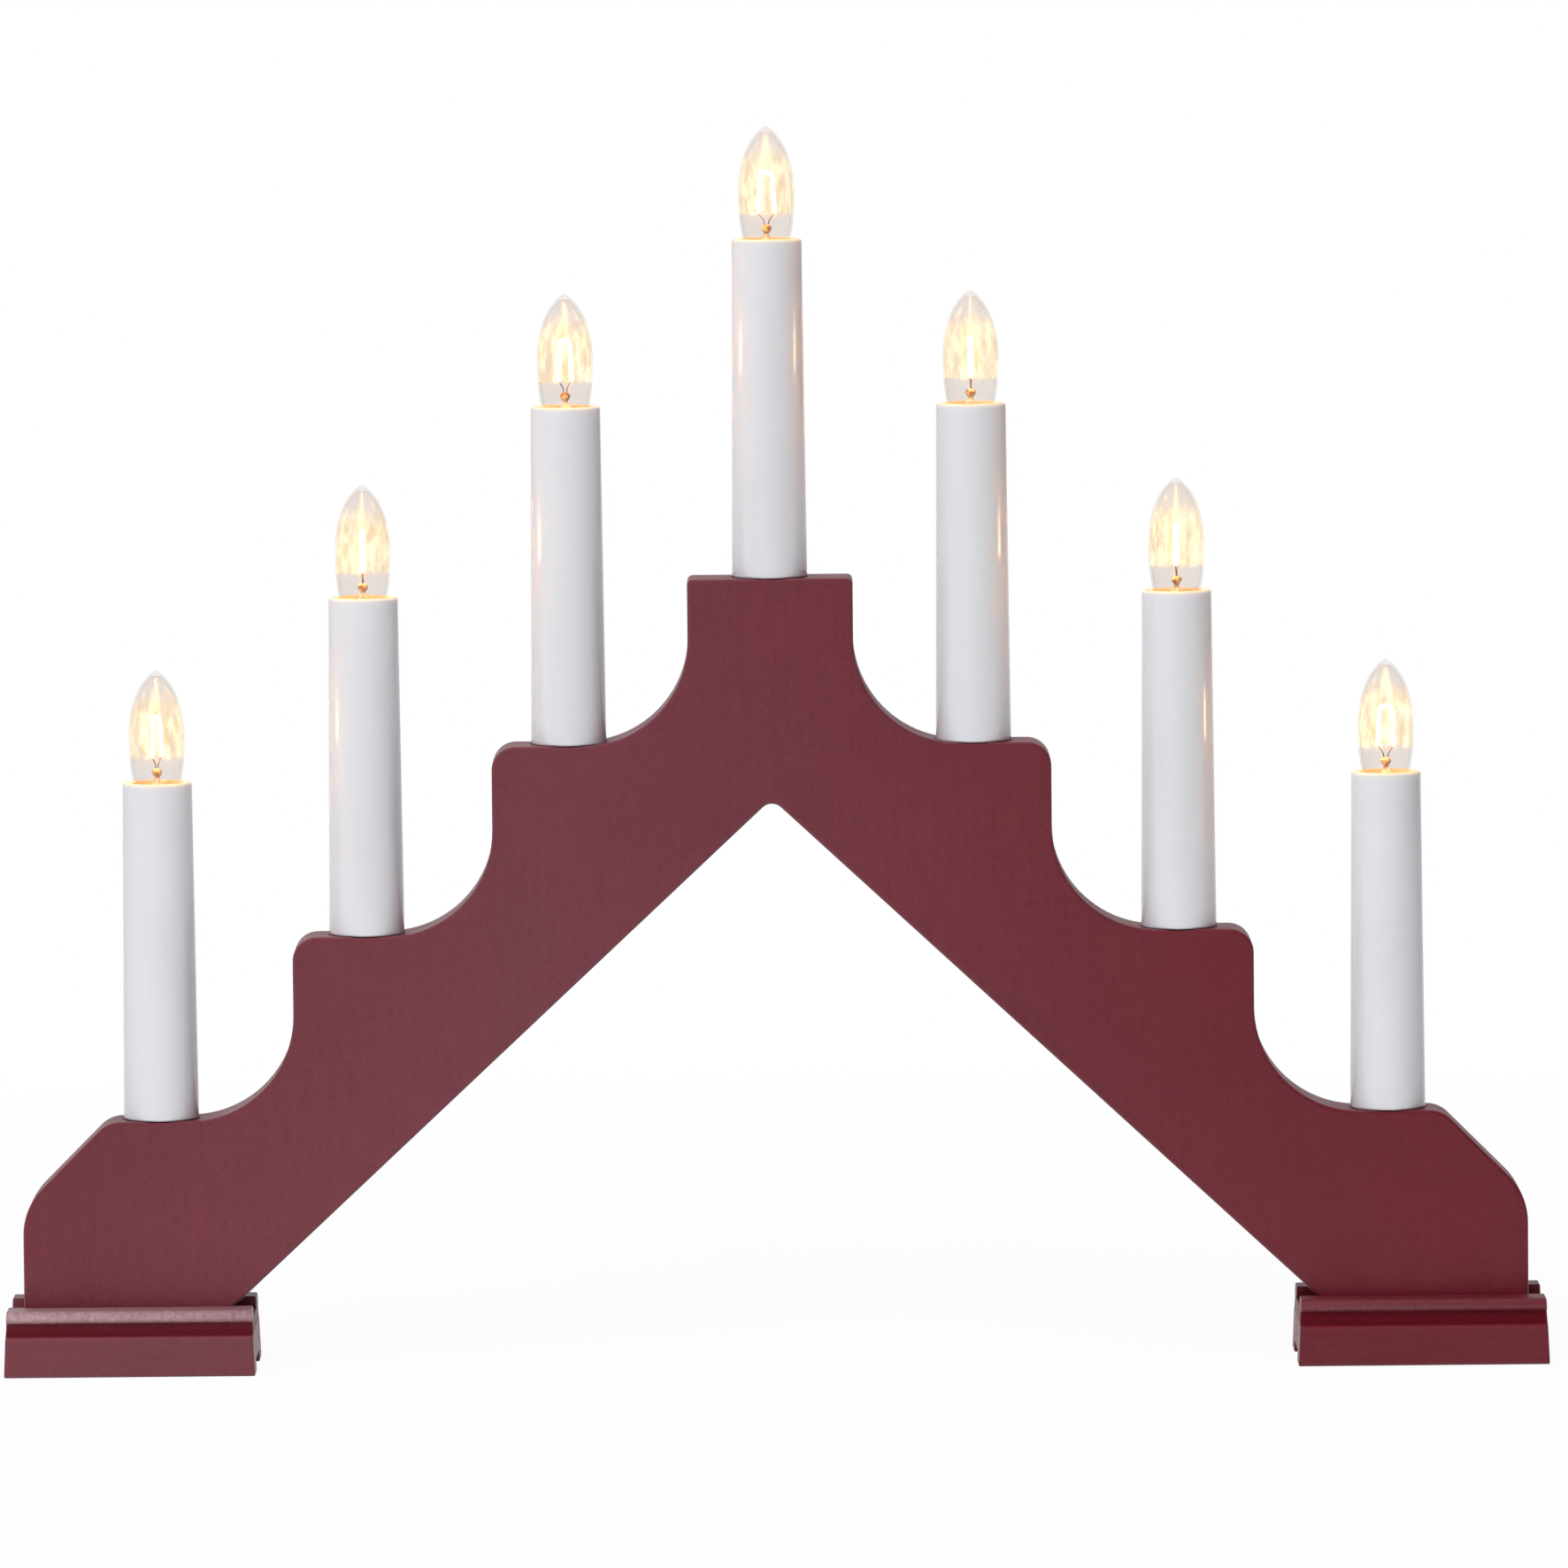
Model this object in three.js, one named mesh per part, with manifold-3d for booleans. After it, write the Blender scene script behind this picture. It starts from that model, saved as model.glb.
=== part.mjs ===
// Window candle arch with seven electric candles: a painted board cut to a stepped arch stands on
// two moulded feet, and carries seven white sleeves with small screw-in bulbs, wired in series.
// Millimetres, +Z up. X runs along the arch and Y from front to back. The origin is on the floor,
// midway between the feet and midway between the board's two faces.
import * as THREE from 'three';
import { mergeVertices } from 'three/addons/utils/BufferGeometryUtils.js';
import Module from 'manifold-3d';

const wasm = await Module();
wasm.setup();

// Clearance under and around each seated piece
const FIT_GAP = 0.3;

// Arch board
const BOARD_THICKNESS = 22.8;
const BOARD_EASE = 1;
const CROWN_HALF_WIDTH = 24.7;
const INNER_SHOULDER = 23;
const MIDDLE_SHOULDER = 22;
const OUTER_SHOULDER = 41.3;
const OUTER_SEAT_HEIGHT = 75.1;
const MIDDLE_RISE = 54.9;
const INNER_RISE = 56.5;
const CROWN_RISE = 49.5;
const COVE_RADIUS = 31.5;
const SHOULDER_RADIUS = 7;
const CROWN_CORNER_RADIUS = 1.6;
const HAUNCH_CHAMFER = 25.6;
const HAUNCH_TOP_RADIUS = 9;
const HAUNCH_SIDE_RADIUS = 20;
const APEX_DEPTH = 65.8;
const APEX_RADIUS = 4;
const LEG_INNER_SETBACK = 9.5;
const LEG_OUTER_SETBACK = 5.6;
const OUTLINE_TOLERANCE = 0.2;

// Moulded feet
const FOOT_LENGTH = 75;
const FOOT_DEPTH = 50;
const FOOT_END_DRAFT = 0.9;
const FASCIA_HEIGHT = 12;
const CAVETTO_RADIUS = 3.7;
const BEAD_RADIUS = 2.05;
const BEAD_SETBACK = 1;
const FOOT_WALL = 12.8;
const DADO_DEPTH = 3.4;
const RELIEF_DEPTH = 3.4;

// Seats, bores and the wiring groove in the back of the board
const INNER_STEP = 60.5;
const MIDDLE_STEP = 61;
const OUTER_STEP = 62.2;
const SEAT_DEPTH = 0.3;
const SHANK_SOCKET_DEPTH = 12.5;
const WIRE_BORE_RADIUS = 4.5;
const CROWN_WIRE_DROP = 43;
const OUTER_WIRE_DROP = 40;
const GROOVE_WIDTH = 5.4;
const GROOVE_PAST_CENTRE = 2.5;
const GROOVE_TAIL = 8;

// Candle sleeves
const SLEEVE_LENGTH = 101;
const SLEEVE_BASE_RADIUS = 11.25;
const SLEEVE_TOP_RADIUS = 10.4;
const SLEEVE_WALL = 1.2;
const SLEEVE_LIP = 1.4;
const SLEEVE_RIM_RADIUS = 1;

// Lamp holders
const SHANK_RADIUS = 5.5;
const SHANK_BORE_RADIUS = 3.8;
const COLLAR_RADIUS = 8.4;
const COLLAR_LENGTH = 28;
const COLLAR_RECESS_DEPTH = 6;
const COLLAR_SKIRT_WALL = 1.6;
const HOLDER_WEB = 2;
const WEB_HOLE_CLEARANCE = 0.4;

// Screw thread shared by the bulb caps and the socket shells
const THREAD_PITCH = 1.814;
const THREAD_DEPTH = 0.6;
const THREAD_CLEARANCE = 0.42;
const CAP_THREAD_RADIUS = 4.76;
const THREAD_TURNS = 2.75;
const THREAD_ROWS_PER_TURN = 4;

// Socket shells
const SHELL_WALL = 0.4;
const SHELL_LENGTH = 10.3;
const SHELL_MOUTH = 2.2;
const SHELL_FLANGE_REACH = 1.3;
const SHELL_FLOOR_HOLE_RADIUS = 3.2;

// Bulbs
const BULB_RADIUS = 8.33;
const BULB_LENGTH = 47.6;
const BULB_TIP_TO_WAIST = 20;
const GLASS_WALL = 0.6;
const NECK_RADIUS = 3.5;
const MOUTH_CLEARANCE = 0.4;
const CAP_LENGTH = 9;
const CAP_FLOOR = 1.4;
const PIP_RADIUS = 1.9;
const PIP_HEIGHT = 1;
const STEM_TOP_RADIUS = 1;
const BEAD_GLASS_RADIUS = 1.5;
const TIP_TO_BEAD = 30.5;
const TIP_TO_FILAMENT = 12.5;
const FILAMENT_HEIGHT = 13;
const FILAMENT_FOOT_SPAN = 5;
const FILAMENT_TOP_SPAN = 3.6;
const FILAMENT_BEND_RADIUS = 1.4;
const FILAMENT_RADIUS = 0.5;
const SUPPORT_WIRE_RADIUS = 0.3;

// Insulated leads
const LEAD_RADIUS = 0.9;
const LEAD_BEND_RADIUS = 3;
const LEAD_SIDE_OFFSET = 1.2;
const LEAD_LAYER_OFFSET = 1.3;
const RETURN_LAYER_OFFSET = 4;
const TONGUE_RADIUS = 2.2;
const TONGUE_THICKNESS = 0.4;

// Facets round each kind of piece
const SLEEVE_SIDES = 18;
const GLASS_SIDES = 12;
const THREAD_SIDES = 12;
const HOLDER_SIDES = 12;
const SMALL_SIDES = 8;
const LEAD_SIDES = 6;

// Heights worked out from the feet upwards
const footHeight = FASCIA_HEIGHT + CAVETTO_RADIUS + 2 * BEAD_RADIUS;
const legBottom = footHeight - DADO_DEPTH + FIT_GAP;
const outerHeight = OUTER_SEAT_HEIGHT;
const middleHeight = outerHeight + MIDDLE_RISE;
const innerHeight = middleHeight + INNER_RISE;
const crownHeight = innerHeight + CROWN_RISE;
const innerCandleX = INNER_STEP;
const middleCandleX = innerCandleX + MIDDLE_STEP;
const outerCandleX = middleCandleX + OUTER_STEP;
const legOuter = outerCandleX + OUTER_SHOULDER;
const footOuter = legOuter + LEG_OUTER_SETBACK;
const footInner = footOuter - FOOT_LENGTH;

// Heights above a candle's seat, from the sleeve's rim down to the socket and up to the bulb's tip
const lipBottom = SLEEVE_LENGTH - SLEEVE_LIP;
const collarTop = lipBottom - FIT_GAP;
const collarBottom = collarTop - COLLAR_LENGTH;
const ledge = collarTop - COLLAR_RECESS_DEPTH;
const shellTop = ledge + FIT_GAP + SHELL_WALL;
const shellBottom = shellTop - SHELL_LENGTH;
const webTop = shellBottom - 2 * FIT_GAP;
const webBottom = webTop - HOLDER_WEB;
const tongueBottom = webTop + FIT_GAP;
const tongueTop = tongueBottom + TONGUE_THICKNESS;
const pipBottom = tongueTop + FIT_GAP;
const capBottom = pipBottom + PIP_HEIGHT;
const capTop = capBottom + CAP_LENGTH;
const capFloor = capBottom + CAP_FLOOR;
const neckBottom = capFloor + FIT_GAP;
const neckTop = capTop + FIT_GAP;
const bulbTip = neckBottom + BULB_LENGTH;

// Radii that follow from the thread
const shellThreadRadius = CAP_THREAD_RADIUS + THREAD_CLEARANCE;
const shellOuterRadius = shellThreadRadius + SHELL_WALL;
const wellRadius = shellOuterRadius + FIT_GAP;
const flangeRadius = shellOuterRadius + SHELL_FLANGE_REACH;
const mouthRadius = BULB_RADIUS - MOUTH_CLEARANCE;
const capBoreRadius = NECK_RADIUS + FIT_GAP;
const shankSocketRadius = SHANK_RADIUS + FIT_GAP;
const skirtBoreRadius = COLLAR_RADIUS - COLLAR_SKIRT_WALL;
const tabX = -(SHELL_FLOOR_HOLE_RADIUS + shellOuterRadius) / 2;

// Materials, with colours as the photograph shows them
function finish(color, roughness, metalness = 0) {
  return new THREE.MeshStandardMaterial({ color, roughness, metalness });
}

const finishes = {
  paint: () => finish(0x7a4450, 0.5),
  sleeve: () => finish(0xe6e4e6, 0.35),
  holder: () => finish(0xd8d4cc, 0.5),
  brass: () => finish(0xc9a25a, 0.3, 1),
  solder: () => finish(0xb4b4b8, 0.35, 1),
  glass: () => finish(0xdedede, 0.05),
  filament: () => finish(0xffc56a, 0.4),
  lead: () => finish(0xf0ede6, 0.45),
};

// Keeps only positions, merges equal vertices and drops triangles that have closed up.
function weld(geometry) {
  const bare = geometry.clone();
  bare.deleteAttribute('normal');
  bare.deleteAttribute('uv');
  const merged = mergeVertices(bare, 1e-3);
  const index = Array.from(merged.index.array);
  const kept = [];
  for (let i = 0; i < index.length; i += 3) {
    const [a, b, c] = index.slice(i, i + 3);
    if (a !== b && b !== c && c !== a) {
      kept.push(a, b, c);
    }
  }
  merged.setIndex(kept);
  return merged;
}

function toSolid(geometry) {
  const welded = weld(geometry);
  const vertProperties = new Float32Array(welded.attributes.position.array);
  const triVerts = new Uint32Array(welded.index.array);
  return new wasm.Manifold(new wasm.Mesh({ numProp: 3, vertProperties, triVerts }));
}

function toGeometry(solid) {
  const { vertProperties, triVerts } = solid.getMesh();
  const geometry = new THREE.BufferGeometry();
  geometry.setAttribute('position', new THREE.BufferAttribute(new Float32Array(vertProperties), 3));
  geometry.setIndex(Array.from(triVerts));
  return geometry;
}

// Revolves a profile of [radius, height] points about +Z. The outer side runs upwards.
function revolve(profile, sides) {
  const points = profile.map(([radius, height]) => new THREE.Vector2(radius, height));
  return new THREE.LatheGeometry(points, sides).rotateX(Math.PI / 2);
}

function revolveClosed(profile, sides) {
  return revolve([...profile, profile[0]], sides);
}

// Points on an arc from one angle to another, both ends included.
function arc(centreX, centreY, radius, from, to, steps) {
  const points = [];
  for (let k = 0; k <= steps; k++) {
    const angle = THREE.MathUtils.lerp(from, to, k / steps);
    points.push([centreX + radius * Math.cos(angle), centreY + radius * Math.sin(angle)]);
  }
  return points;
}

// Closed outline through corners of [x, z, radius], each rounded by an arc that its sides allow.
function roundedOutline(corners) {
  const at = (index) => new THREE.Vector2(...corners.at(index % corners.length).slice(0, 2));
  return corners.flatMap(([, , wanted], index) => {
    const corner = at(index);
    if (wanted === 0) {
      return [corner];
    }
    const toBefore = at(index - 1).sub(corner);
    const toAfter = at(index + 1).sub(corner);
    const room = Math.min(toBefore.length(), toAfter.length());
    toBefore.normalize();
    toAfter.normalize();
    const half = Math.acos(toBefore.dot(toAfter)) / 2;
    const radius = Math.min(wanted, 0.95 * room * Math.tan(half));
    const start = corner.clone().addScaledVector(toBefore, radius / Math.tan(half));
    const bisector = toBefore.clone().add(toAfter).normalize();
    const centre = corner.clone().addScaledVector(bisector, radius / Math.sin(half));
    const turn = (Math.PI - 2 * half) * -Math.sign(toBefore.cross(toAfter));
    const steps = Math.ceil(Math.abs(turn) / (2 * Math.acos(1 - OUTLINE_TOLERANCE / radius)));
    const points = [];
    for (let k = 0; k <= steps; k++) {
      points.push(start.clone().rotateAround(centre, turn * (k / steps)));
    }
    return points;
  });
}

// Arch board: right half of the outline from the crown down to the leg, and its mirror image
function archOutline() {
  const innerSide = innerCandleX + INNER_SHOULDER;
  const middleSide = middleCandleX + MIDDLE_SHOULDER;
  const legInner = footInner + LEG_INNER_SETBACK;
  const right = [
    [CROWN_HALF_WIDTH, crownHeight, CROWN_CORNER_RADIUS],
    [CROWN_HALF_WIDTH, innerHeight, COVE_RADIUS],
    [innerSide, innerHeight, SHOULDER_RADIUS],
    [innerSide, middleHeight, COVE_RADIUS],
    [middleSide, middleHeight, SHOULDER_RADIUS],
    [middleSide, outerHeight, COVE_RADIUS],
    [legOuter - HAUNCH_CHAMFER, outerHeight, HAUNCH_TOP_RADIUS],
    [legOuter, outerHeight - HAUNCH_CHAMFER, HAUNCH_SIDE_RADIUS],
    [legOuter, legBottom, 0],
    [legInner, legBottom, 0],
  ];
  const left = right.map(([x, z, radius]) => [-x, z, radius]).reverse();
  return roundedOutline([...right, [0, crownHeight - APEX_DEPTH, APEX_RADIUS], ...left]);
}

// Height of the wiring groove's centre line at a given x
const grooveCrown = crownHeight - CROWN_WIRE_DROP;
const grooveOuter = outerHeight - OUTER_WIRE_DROP;
const grooveSlope = (grooveCrown - grooveOuter) / outerCandleX;

function grooveHeight(x) {
  return grooveCrown - grooveSlope * Math.abs(x);
}

// The groove follows the underside of the arch in the back face and ends past the outer candles.
function grooveCutter() {
  const end = outerCandleX + GROOVE_TAIL;
  const rise = (GROOVE_WIDTH / 2) * Math.hypot(1, grooveSlope);
  const shape = new THREE.Shape([
    new THREE.Vector2(-end, grooveHeight(end) - rise),
    new THREE.Vector2(0, grooveCrown - rise),
    new THREE.Vector2(end, grooveHeight(end) - rise),
    new THREE.Vector2(end, grooveHeight(end) + rise),
    new THREE.Vector2(0, grooveCrown + rise),
    new THREE.Vector2(-end, grooveHeight(end) + rise),
  ]);
  const depth = BOARD_THICKNESS;
  const geometry = new THREE.ExtrudeGeometry(shape, { depth, bevelEnabled: false });
  return geometry.rotateX(Math.PI / 2).translate(0, depth - GROOVE_PAST_CENTRE, 0);
}

// One cutter per candle: the seat that trims the cove, the holder's socket and the wire bore
function candleCutter({ x, height }) {
  const seatRadius = SLEEVE_BASE_RADIUS + FIT_GAP;
  const boreBottom = grooveHeight(x) - GROOVE_WIDTH / 2 - height;
  const seat = revolve([
    [0, -SEAT_DEPTH],
    [seatRadius, -SEAT_DEPTH],
    [seatRadius, COVE_RADIUS],
    [0, COVE_RADIUS],
  ], SLEEVE_SIDES);
  const bore = revolve([
    [0, boreBottom],
    [WIRE_BORE_RADIUS, boreBottom],
    [WIRE_BORE_RADIUS, -SHANK_SOCKET_DEPTH],
    [shankSocketRadius, -SHANK_SOCKET_DEPTH],
    [shankSocketRadius, 0],
    [0, 0],
  ], HOLDER_SIDES);
  return toSolid(seat).add(toSolid(bore)).translate([x, 0, height]);
}

function archBoard(seats) {
  const outline = new THREE.ExtrudeGeometry(new THREE.Shape(archOutline()), {
    depth: BOARD_THICKNESS - 2 * BOARD_EASE,
    bevelThickness: BOARD_EASE,
    bevelSize: BOARD_EASE,
    bevelOffset: -BOARD_EASE,
    bevelSegments: 1,
    steps: 1,
  });
  outline.rotateX(Math.PI / 2).translate(0, BOARD_THICKNESS / 2 - BOARD_EASE, 0);
  let board = toSolid(outline).subtract(toSolid(grooveCutter()));
  for (const seat of seats) {
    board = board.subtract(candleCutter(seat));
  }
  return toGeometry(board);
}

// Foot: a length of moulding with a bead over a cavetto over a plain fascia, on both long sides,
// a shallow dado on top for the board and a shallow relief underneath. The ends flare to the floor.
function footBlock() {
  const half = FOOT_DEPTH / 2;
  const cavettoTop = FASCIA_HEIGHT + CAVETTO_RADIUS;
  const beadCentre = half - BEAD_SETBACK - BEAD_RADIUS;
  const dadoHalf = BOARD_THICKNESS / 2 + FIT_GAP;
  const back = [
    [half - FOOT_WALL, RELIEF_DEPTH],
    [half - FOOT_WALL, 0],
    [half, 0],
    ...arc(half, cavettoTop, CAVETTO_RADIUS, -Math.PI / 2, -Math.PI, 5),
    ...arc(beadCentre, cavettoTop + BEAD_RADIUS, BEAD_RADIUS, -Math.PI / 2, Math.PI / 2, 7),
    [dadoHalf, footHeight],
    [dadoHalf, footHeight - DADO_DEPTH],
  ];
  const front = back.map(([y, z]) => [-y, z]).reverse();
  const points = [...back, ...front].map(([y, z]) => new THREE.Vector2(y, z));
  const settings = { depth: FOOT_LENGTH, bevelEnabled: false };
  const geometry = new THREE.ExtrudeGeometry(new THREE.Shape(points), settings);
  const along = new THREE.Matrix4().makeBasis(
    new THREE.Vector3(0, 1, 0),
    new THREE.Vector3(0, 0, 1),
    new THREE.Vector3(1, 0, 0),
  );
  geometry.translate(0, 0, -FOOT_LENGTH / 2).applyMatrix4(along);
  const position = geometry.attributes.position;
  for (let i = 0; i < position.count; i++) {
    const drawnIn = (2 * FOOT_END_DRAFT * position.getZ(i)) / (footHeight * FOOT_LENGTH);
    position.setX(i, position.getX(i) * (1 - drawnIn));
  }
  return geometry;
}

// Sleeve: a tapered white tube with a rounded rim, and a lip turned in towards the bulb
function candleSleeve() {
  const rimStart = SLEEVE_LENGTH - SLEEVE_RIM_RADIUS;
  const rimCentre = SLEEVE_TOP_RADIUS - SLEEVE_RIM_RADIUS;
  return revolveClosed([
    [SLEEVE_BASE_RADIUS, 0],
    ...arc(rimCentre, rimStart, SLEEVE_RIM_RADIUS, 0, Math.PI / 2, 2),
    [mouthRadius, SLEEVE_LENGTH],
    [mouthRadius, lipBottom],
    [SLEEVE_TOP_RADIUS - SLEEVE_WALL, lipBottom],
    [SLEEVE_BASE_RADIUS - SLEEVE_WALL, 0],
  ], SLEEVE_SIDES);
}

// Holder: a collar for the socket shell on a hollow shank that is pushed into the board
function lampHolder() {
  const shankBottom = FIT_GAP - SHANK_SOCKET_DEPTH;
  const webHoleRadius = LEAD_RADIUS + WEB_HOLE_CLEARANCE;
  const body = revolveClosed([
    [SHANK_BORE_RADIUS, shankBottom],
    [SHANK_RADIUS, shankBottom],
    [SHANK_RADIUS, collarBottom],
    [COLLAR_RADIUS, collarBottom],
    [COLLAR_RADIUS, collarTop],
    [mouthRadius - FIT_GAP, collarTop],
    [mouthRadius - FIT_GAP, ledge],
    [wellRadius, ledge],
    [wellRadius, webTop],
    [webHoleRadius, webTop],
    [webHoleRadius, webBottom],
    [skirtBoreRadius, webBottom],
    [skirtBoreRadius, collarBottom + COLLAR_SKIRT_WALL],
    [SHANK_BORE_RADIUS, collarBottom + COLLAR_SKIRT_WALL],
  ], HOLDER_SIDES);
  const tabHole = new THREE.CylinderGeometry(webHoleRadius, webHoleRadius, 2 * HOLDER_WEB, SMALL_SIDES);
  tabHole.rotateX(Math.PI / 2).translate(tabX, 0, webBottom + HOLDER_WEB / 2);
  return toGeometry(toSolid(body).subtract(toSolid(tabHole)));
}

// Rows of a threaded wall at one radius, from one height to the other
function threadRows(radius, from, to) {
  const steps = Math.round((Math.abs(to - from) / THREAD_PITCH) * THREAD_ROWS_PER_TURN);
  const rows = [];
  for (let k = 0; k <= steps; k++) {
    rows.push([radius, THREE.MathUtils.lerp(from, to, k / steps)]);
  }
  return rows;
}

// Presses a right-hand helical thread into the wall that stands at the given radius. Both threads
// have the same phase, so a cap that turns in a shell rises by one pitch a turn and stays clear.
function pressThread(geometry, radius, from, to, outward) {
  const position = geometry.attributes.position;
  for (let i = 0; i < position.count; i++) {
    const [x, y, z] = [position.getX(i), position.getY(i), position.getZ(i)];
    const here = Math.hypot(x, y);
    if (Math.abs(here - radius) < 1e-3 && z > from && z < to) {
      const wave = Math.cos(Math.atan2(y, x) - (2 * Math.PI * z) / THREAD_PITCH);
      const runOut = Math.min(1, (2 * Math.min(z - from, to - z)) / THREAD_PITCH);
      const depth = THREAD_DEPTH * runOut * (outward ? (1 + wave) / 2 : (wave - 1) / 2);
      position.setXY(i, x * (1 + depth / here), y * (1 + depth / here));
    }
  }
  return geometry;
}

// Socket shell: thin brass with a rolled thread, a flange on the holder's ledge and a pierced floor
function socketShell() {
  const from = shellTop - SHELL_MOUTH - THREAD_TURNS * THREAD_PITCH;
  const to = shellTop - SHELL_MOUTH;
  const geometry = revolveClosed([
    [SHELL_FLOOR_HOLE_RADIUS, shellBottom],
    [shellOuterRadius, shellBottom],
    [shellOuterRadius, shellTop - SHELL_WALL],
    [flangeRadius, shellTop - SHELL_WALL],
    [flangeRadius, shellTop],
    [shellThreadRadius, shellTop],
    ...threadRows(shellThreadRadius, to, from),
    [shellThreadRadius, shellBottom + SHELL_WALL],
    [SHELL_FLOOR_HOLE_RADIUS, shellBottom + SHELL_WALL],
  ], THREAD_SIDES);
  return pressThread(geometry, shellThreadRadius, from, to, false);
}

// Bulb cap: a threaded brass cup that holds the glass neck
function bulbCap() {
  const root = CAP_THREAD_RADIUS - THREAD_DEPTH;
  const from = capBottom + CAP_FLOOR;
  const to = from + THREAD_TURNS * THREAD_PITCH;
  const geometry = revolve([
    [0, capBottom],
    [root - CAP_FLOOR / 2, capBottom],
    [root, capBottom + CAP_FLOOR / 2],
    ...threadRows(root, from, to),
    [root, capTop],
    [capBoreRadius, capTop],
    [capBoreRadius, capFloor],
    [0, capFloor],
  ], THREAD_SIDES);
  return pressThread(geometry, root, from, to, true);
}

function bulbPip() {
  const shoulder = pipBottom + PIP_HEIGHT / 2;
  return revolve([
    [0, pipBottom],
    [PIP_RADIUS / 2, pipBottom],
    [PIP_RADIUS, shoulder],
    [PIP_RADIUS, capBottom],
    [0, capBottom],
  ], SMALL_SIDES);
}

// Glass outline from the neck up to the tip, drawn in by a wall's thickness for the inside.
// A round belly and a long taper to the tip are each one cubic curve.
function glassProfile(inset, bellySteps, tipSteps) {
  const waist = bulbTip - BULB_TIP_TO_WAIST;
  const fall = waist - neckTop;
  const belly = new THREE.CubicBezierCurve(
    new THREE.Vector2(NECK_RADIUS, neckTop),
    new THREE.Vector2(0.89 * BULB_RADIUS, neckTop + 0.1 * fall),
    new THREE.Vector2(BULB_RADIUS, neckTop + 0.62 * fall),
    new THREE.Vector2(BULB_RADIUS, waist),
  );
  const taper = new THREE.CubicBezierCurve(
    new THREE.Vector2(BULB_RADIUS, waist),
    new THREE.Vector2(BULB_RADIUS, bulbTip - 0.55 * BULB_TIP_TO_WAIST),
    new THREE.Vector2(0.66 * BULB_RADIUS, bulbTip - 0.19 * BULB_TIP_TO_WAIST),
    new THREE.Vector2(0.11 * BULB_RADIUS, bulbTip - 0.018 * BULB_TIP_TO_WAIST),
  );
  const points = [...belly.getPoints(bellySteps), ...taper.getPoints(tipSteps).slice(1)];
  return points.map((point) => {
    const share = (point.x - inset) / point.x;
    const lowered = bulbTip - inset * 2 - (bulbTip - point.y) * (1 - (2 * inset) / BULB_LENGTH);
    return inset === 0 ? [point.x, point.y] : [Math.max(point.x * share, 0.2), lowered];
  });
}

function bulbGlass() {
  const inside = glassProfile(GLASS_WALL, 3, 2).reverse();
  return revolve([
    [0, bulbTip - 2 * GLASS_WALL],
    ...inside,
    [NECK_RADIUS - GLASS_WALL, neckBottom],
    [NECK_RADIUS, neckBottom],
    ...glassProfile(0, 4, 4),
    [0, bulbTip],
  ], GLASS_SIDES);
}

// Curve through corners of a wire's route. Each bend is an arc, and only bends have extra points.
class Route extends THREE.Curve {
  constructor(corners, bendRadius) {
    super();
    this.points = corners.flatMap((corner, index) => {
      if (index === 0 || index === corners.length - 1) {
        return [corner];
      }
      const before = corners[index - 1];
      const after = corners[index + 1];
      const inward = corner.clone().sub(before);
      const outward = after.clone().sub(corner);
      const room = 0.45 * Math.min(inward.length(), outward.length());
      inward.normalize();
      outward.normalize();
      const turn = inward.angleTo(outward);
      if (turn < 0.01) {
        return [corner];
      }
      const radius = Math.min(bendRadius, room / Math.tan(turn / 2));
      const start = corner.clone().addScaledVector(inward, -radius * Math.tan(turn / 2));
      const side = outward.clone().addScaledVector(inward, -outward.dot(inward)).normalize();
      const steps = Math.ceil(turn / 0.8);
      return Array.from({ length: steps + 1 }, (_, k) => {
        const angle = (turn * k) / steps;
        const point = start.clone().addScaledVector(inward, radius * Math.sin(angle));
        return point.addScaledVector(side, radius * (1 - Math.cos(angle)));
      });
    });
  }

  getPoint(t, target = new THREE.Vector3()) {
    const along = t * (this.points.length - 1);
    const index = Math.min(Math.floor(along), this.points.length - 2);
    return target.lerpVectors(this.points[index], this.points[index + 1], along - index);
  }

  getPointAt(u, target) {
    return this.getPoint(u, target);
  }

  getTangentAt(u, target) {
    return this.getTangent(u, target);
  }
}

function wire(corners, radius, bendRadius, sides) {
  const section = new THREE.Shape();
  const ring = arc(0, 0, radius, 0, 2 * Math.PI, sides).slice(0, sides);
  section.setFromPoints(ring.map(([x, y]) => new THREE.Vector2(x, y)));
  const extrudePath = new Route(corners, bendRadius);
  const steps = extrudePath.points.length - 1;
  return new THREE.ExtrudeGeometry(section, { extrudePath, steps });
}

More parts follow.
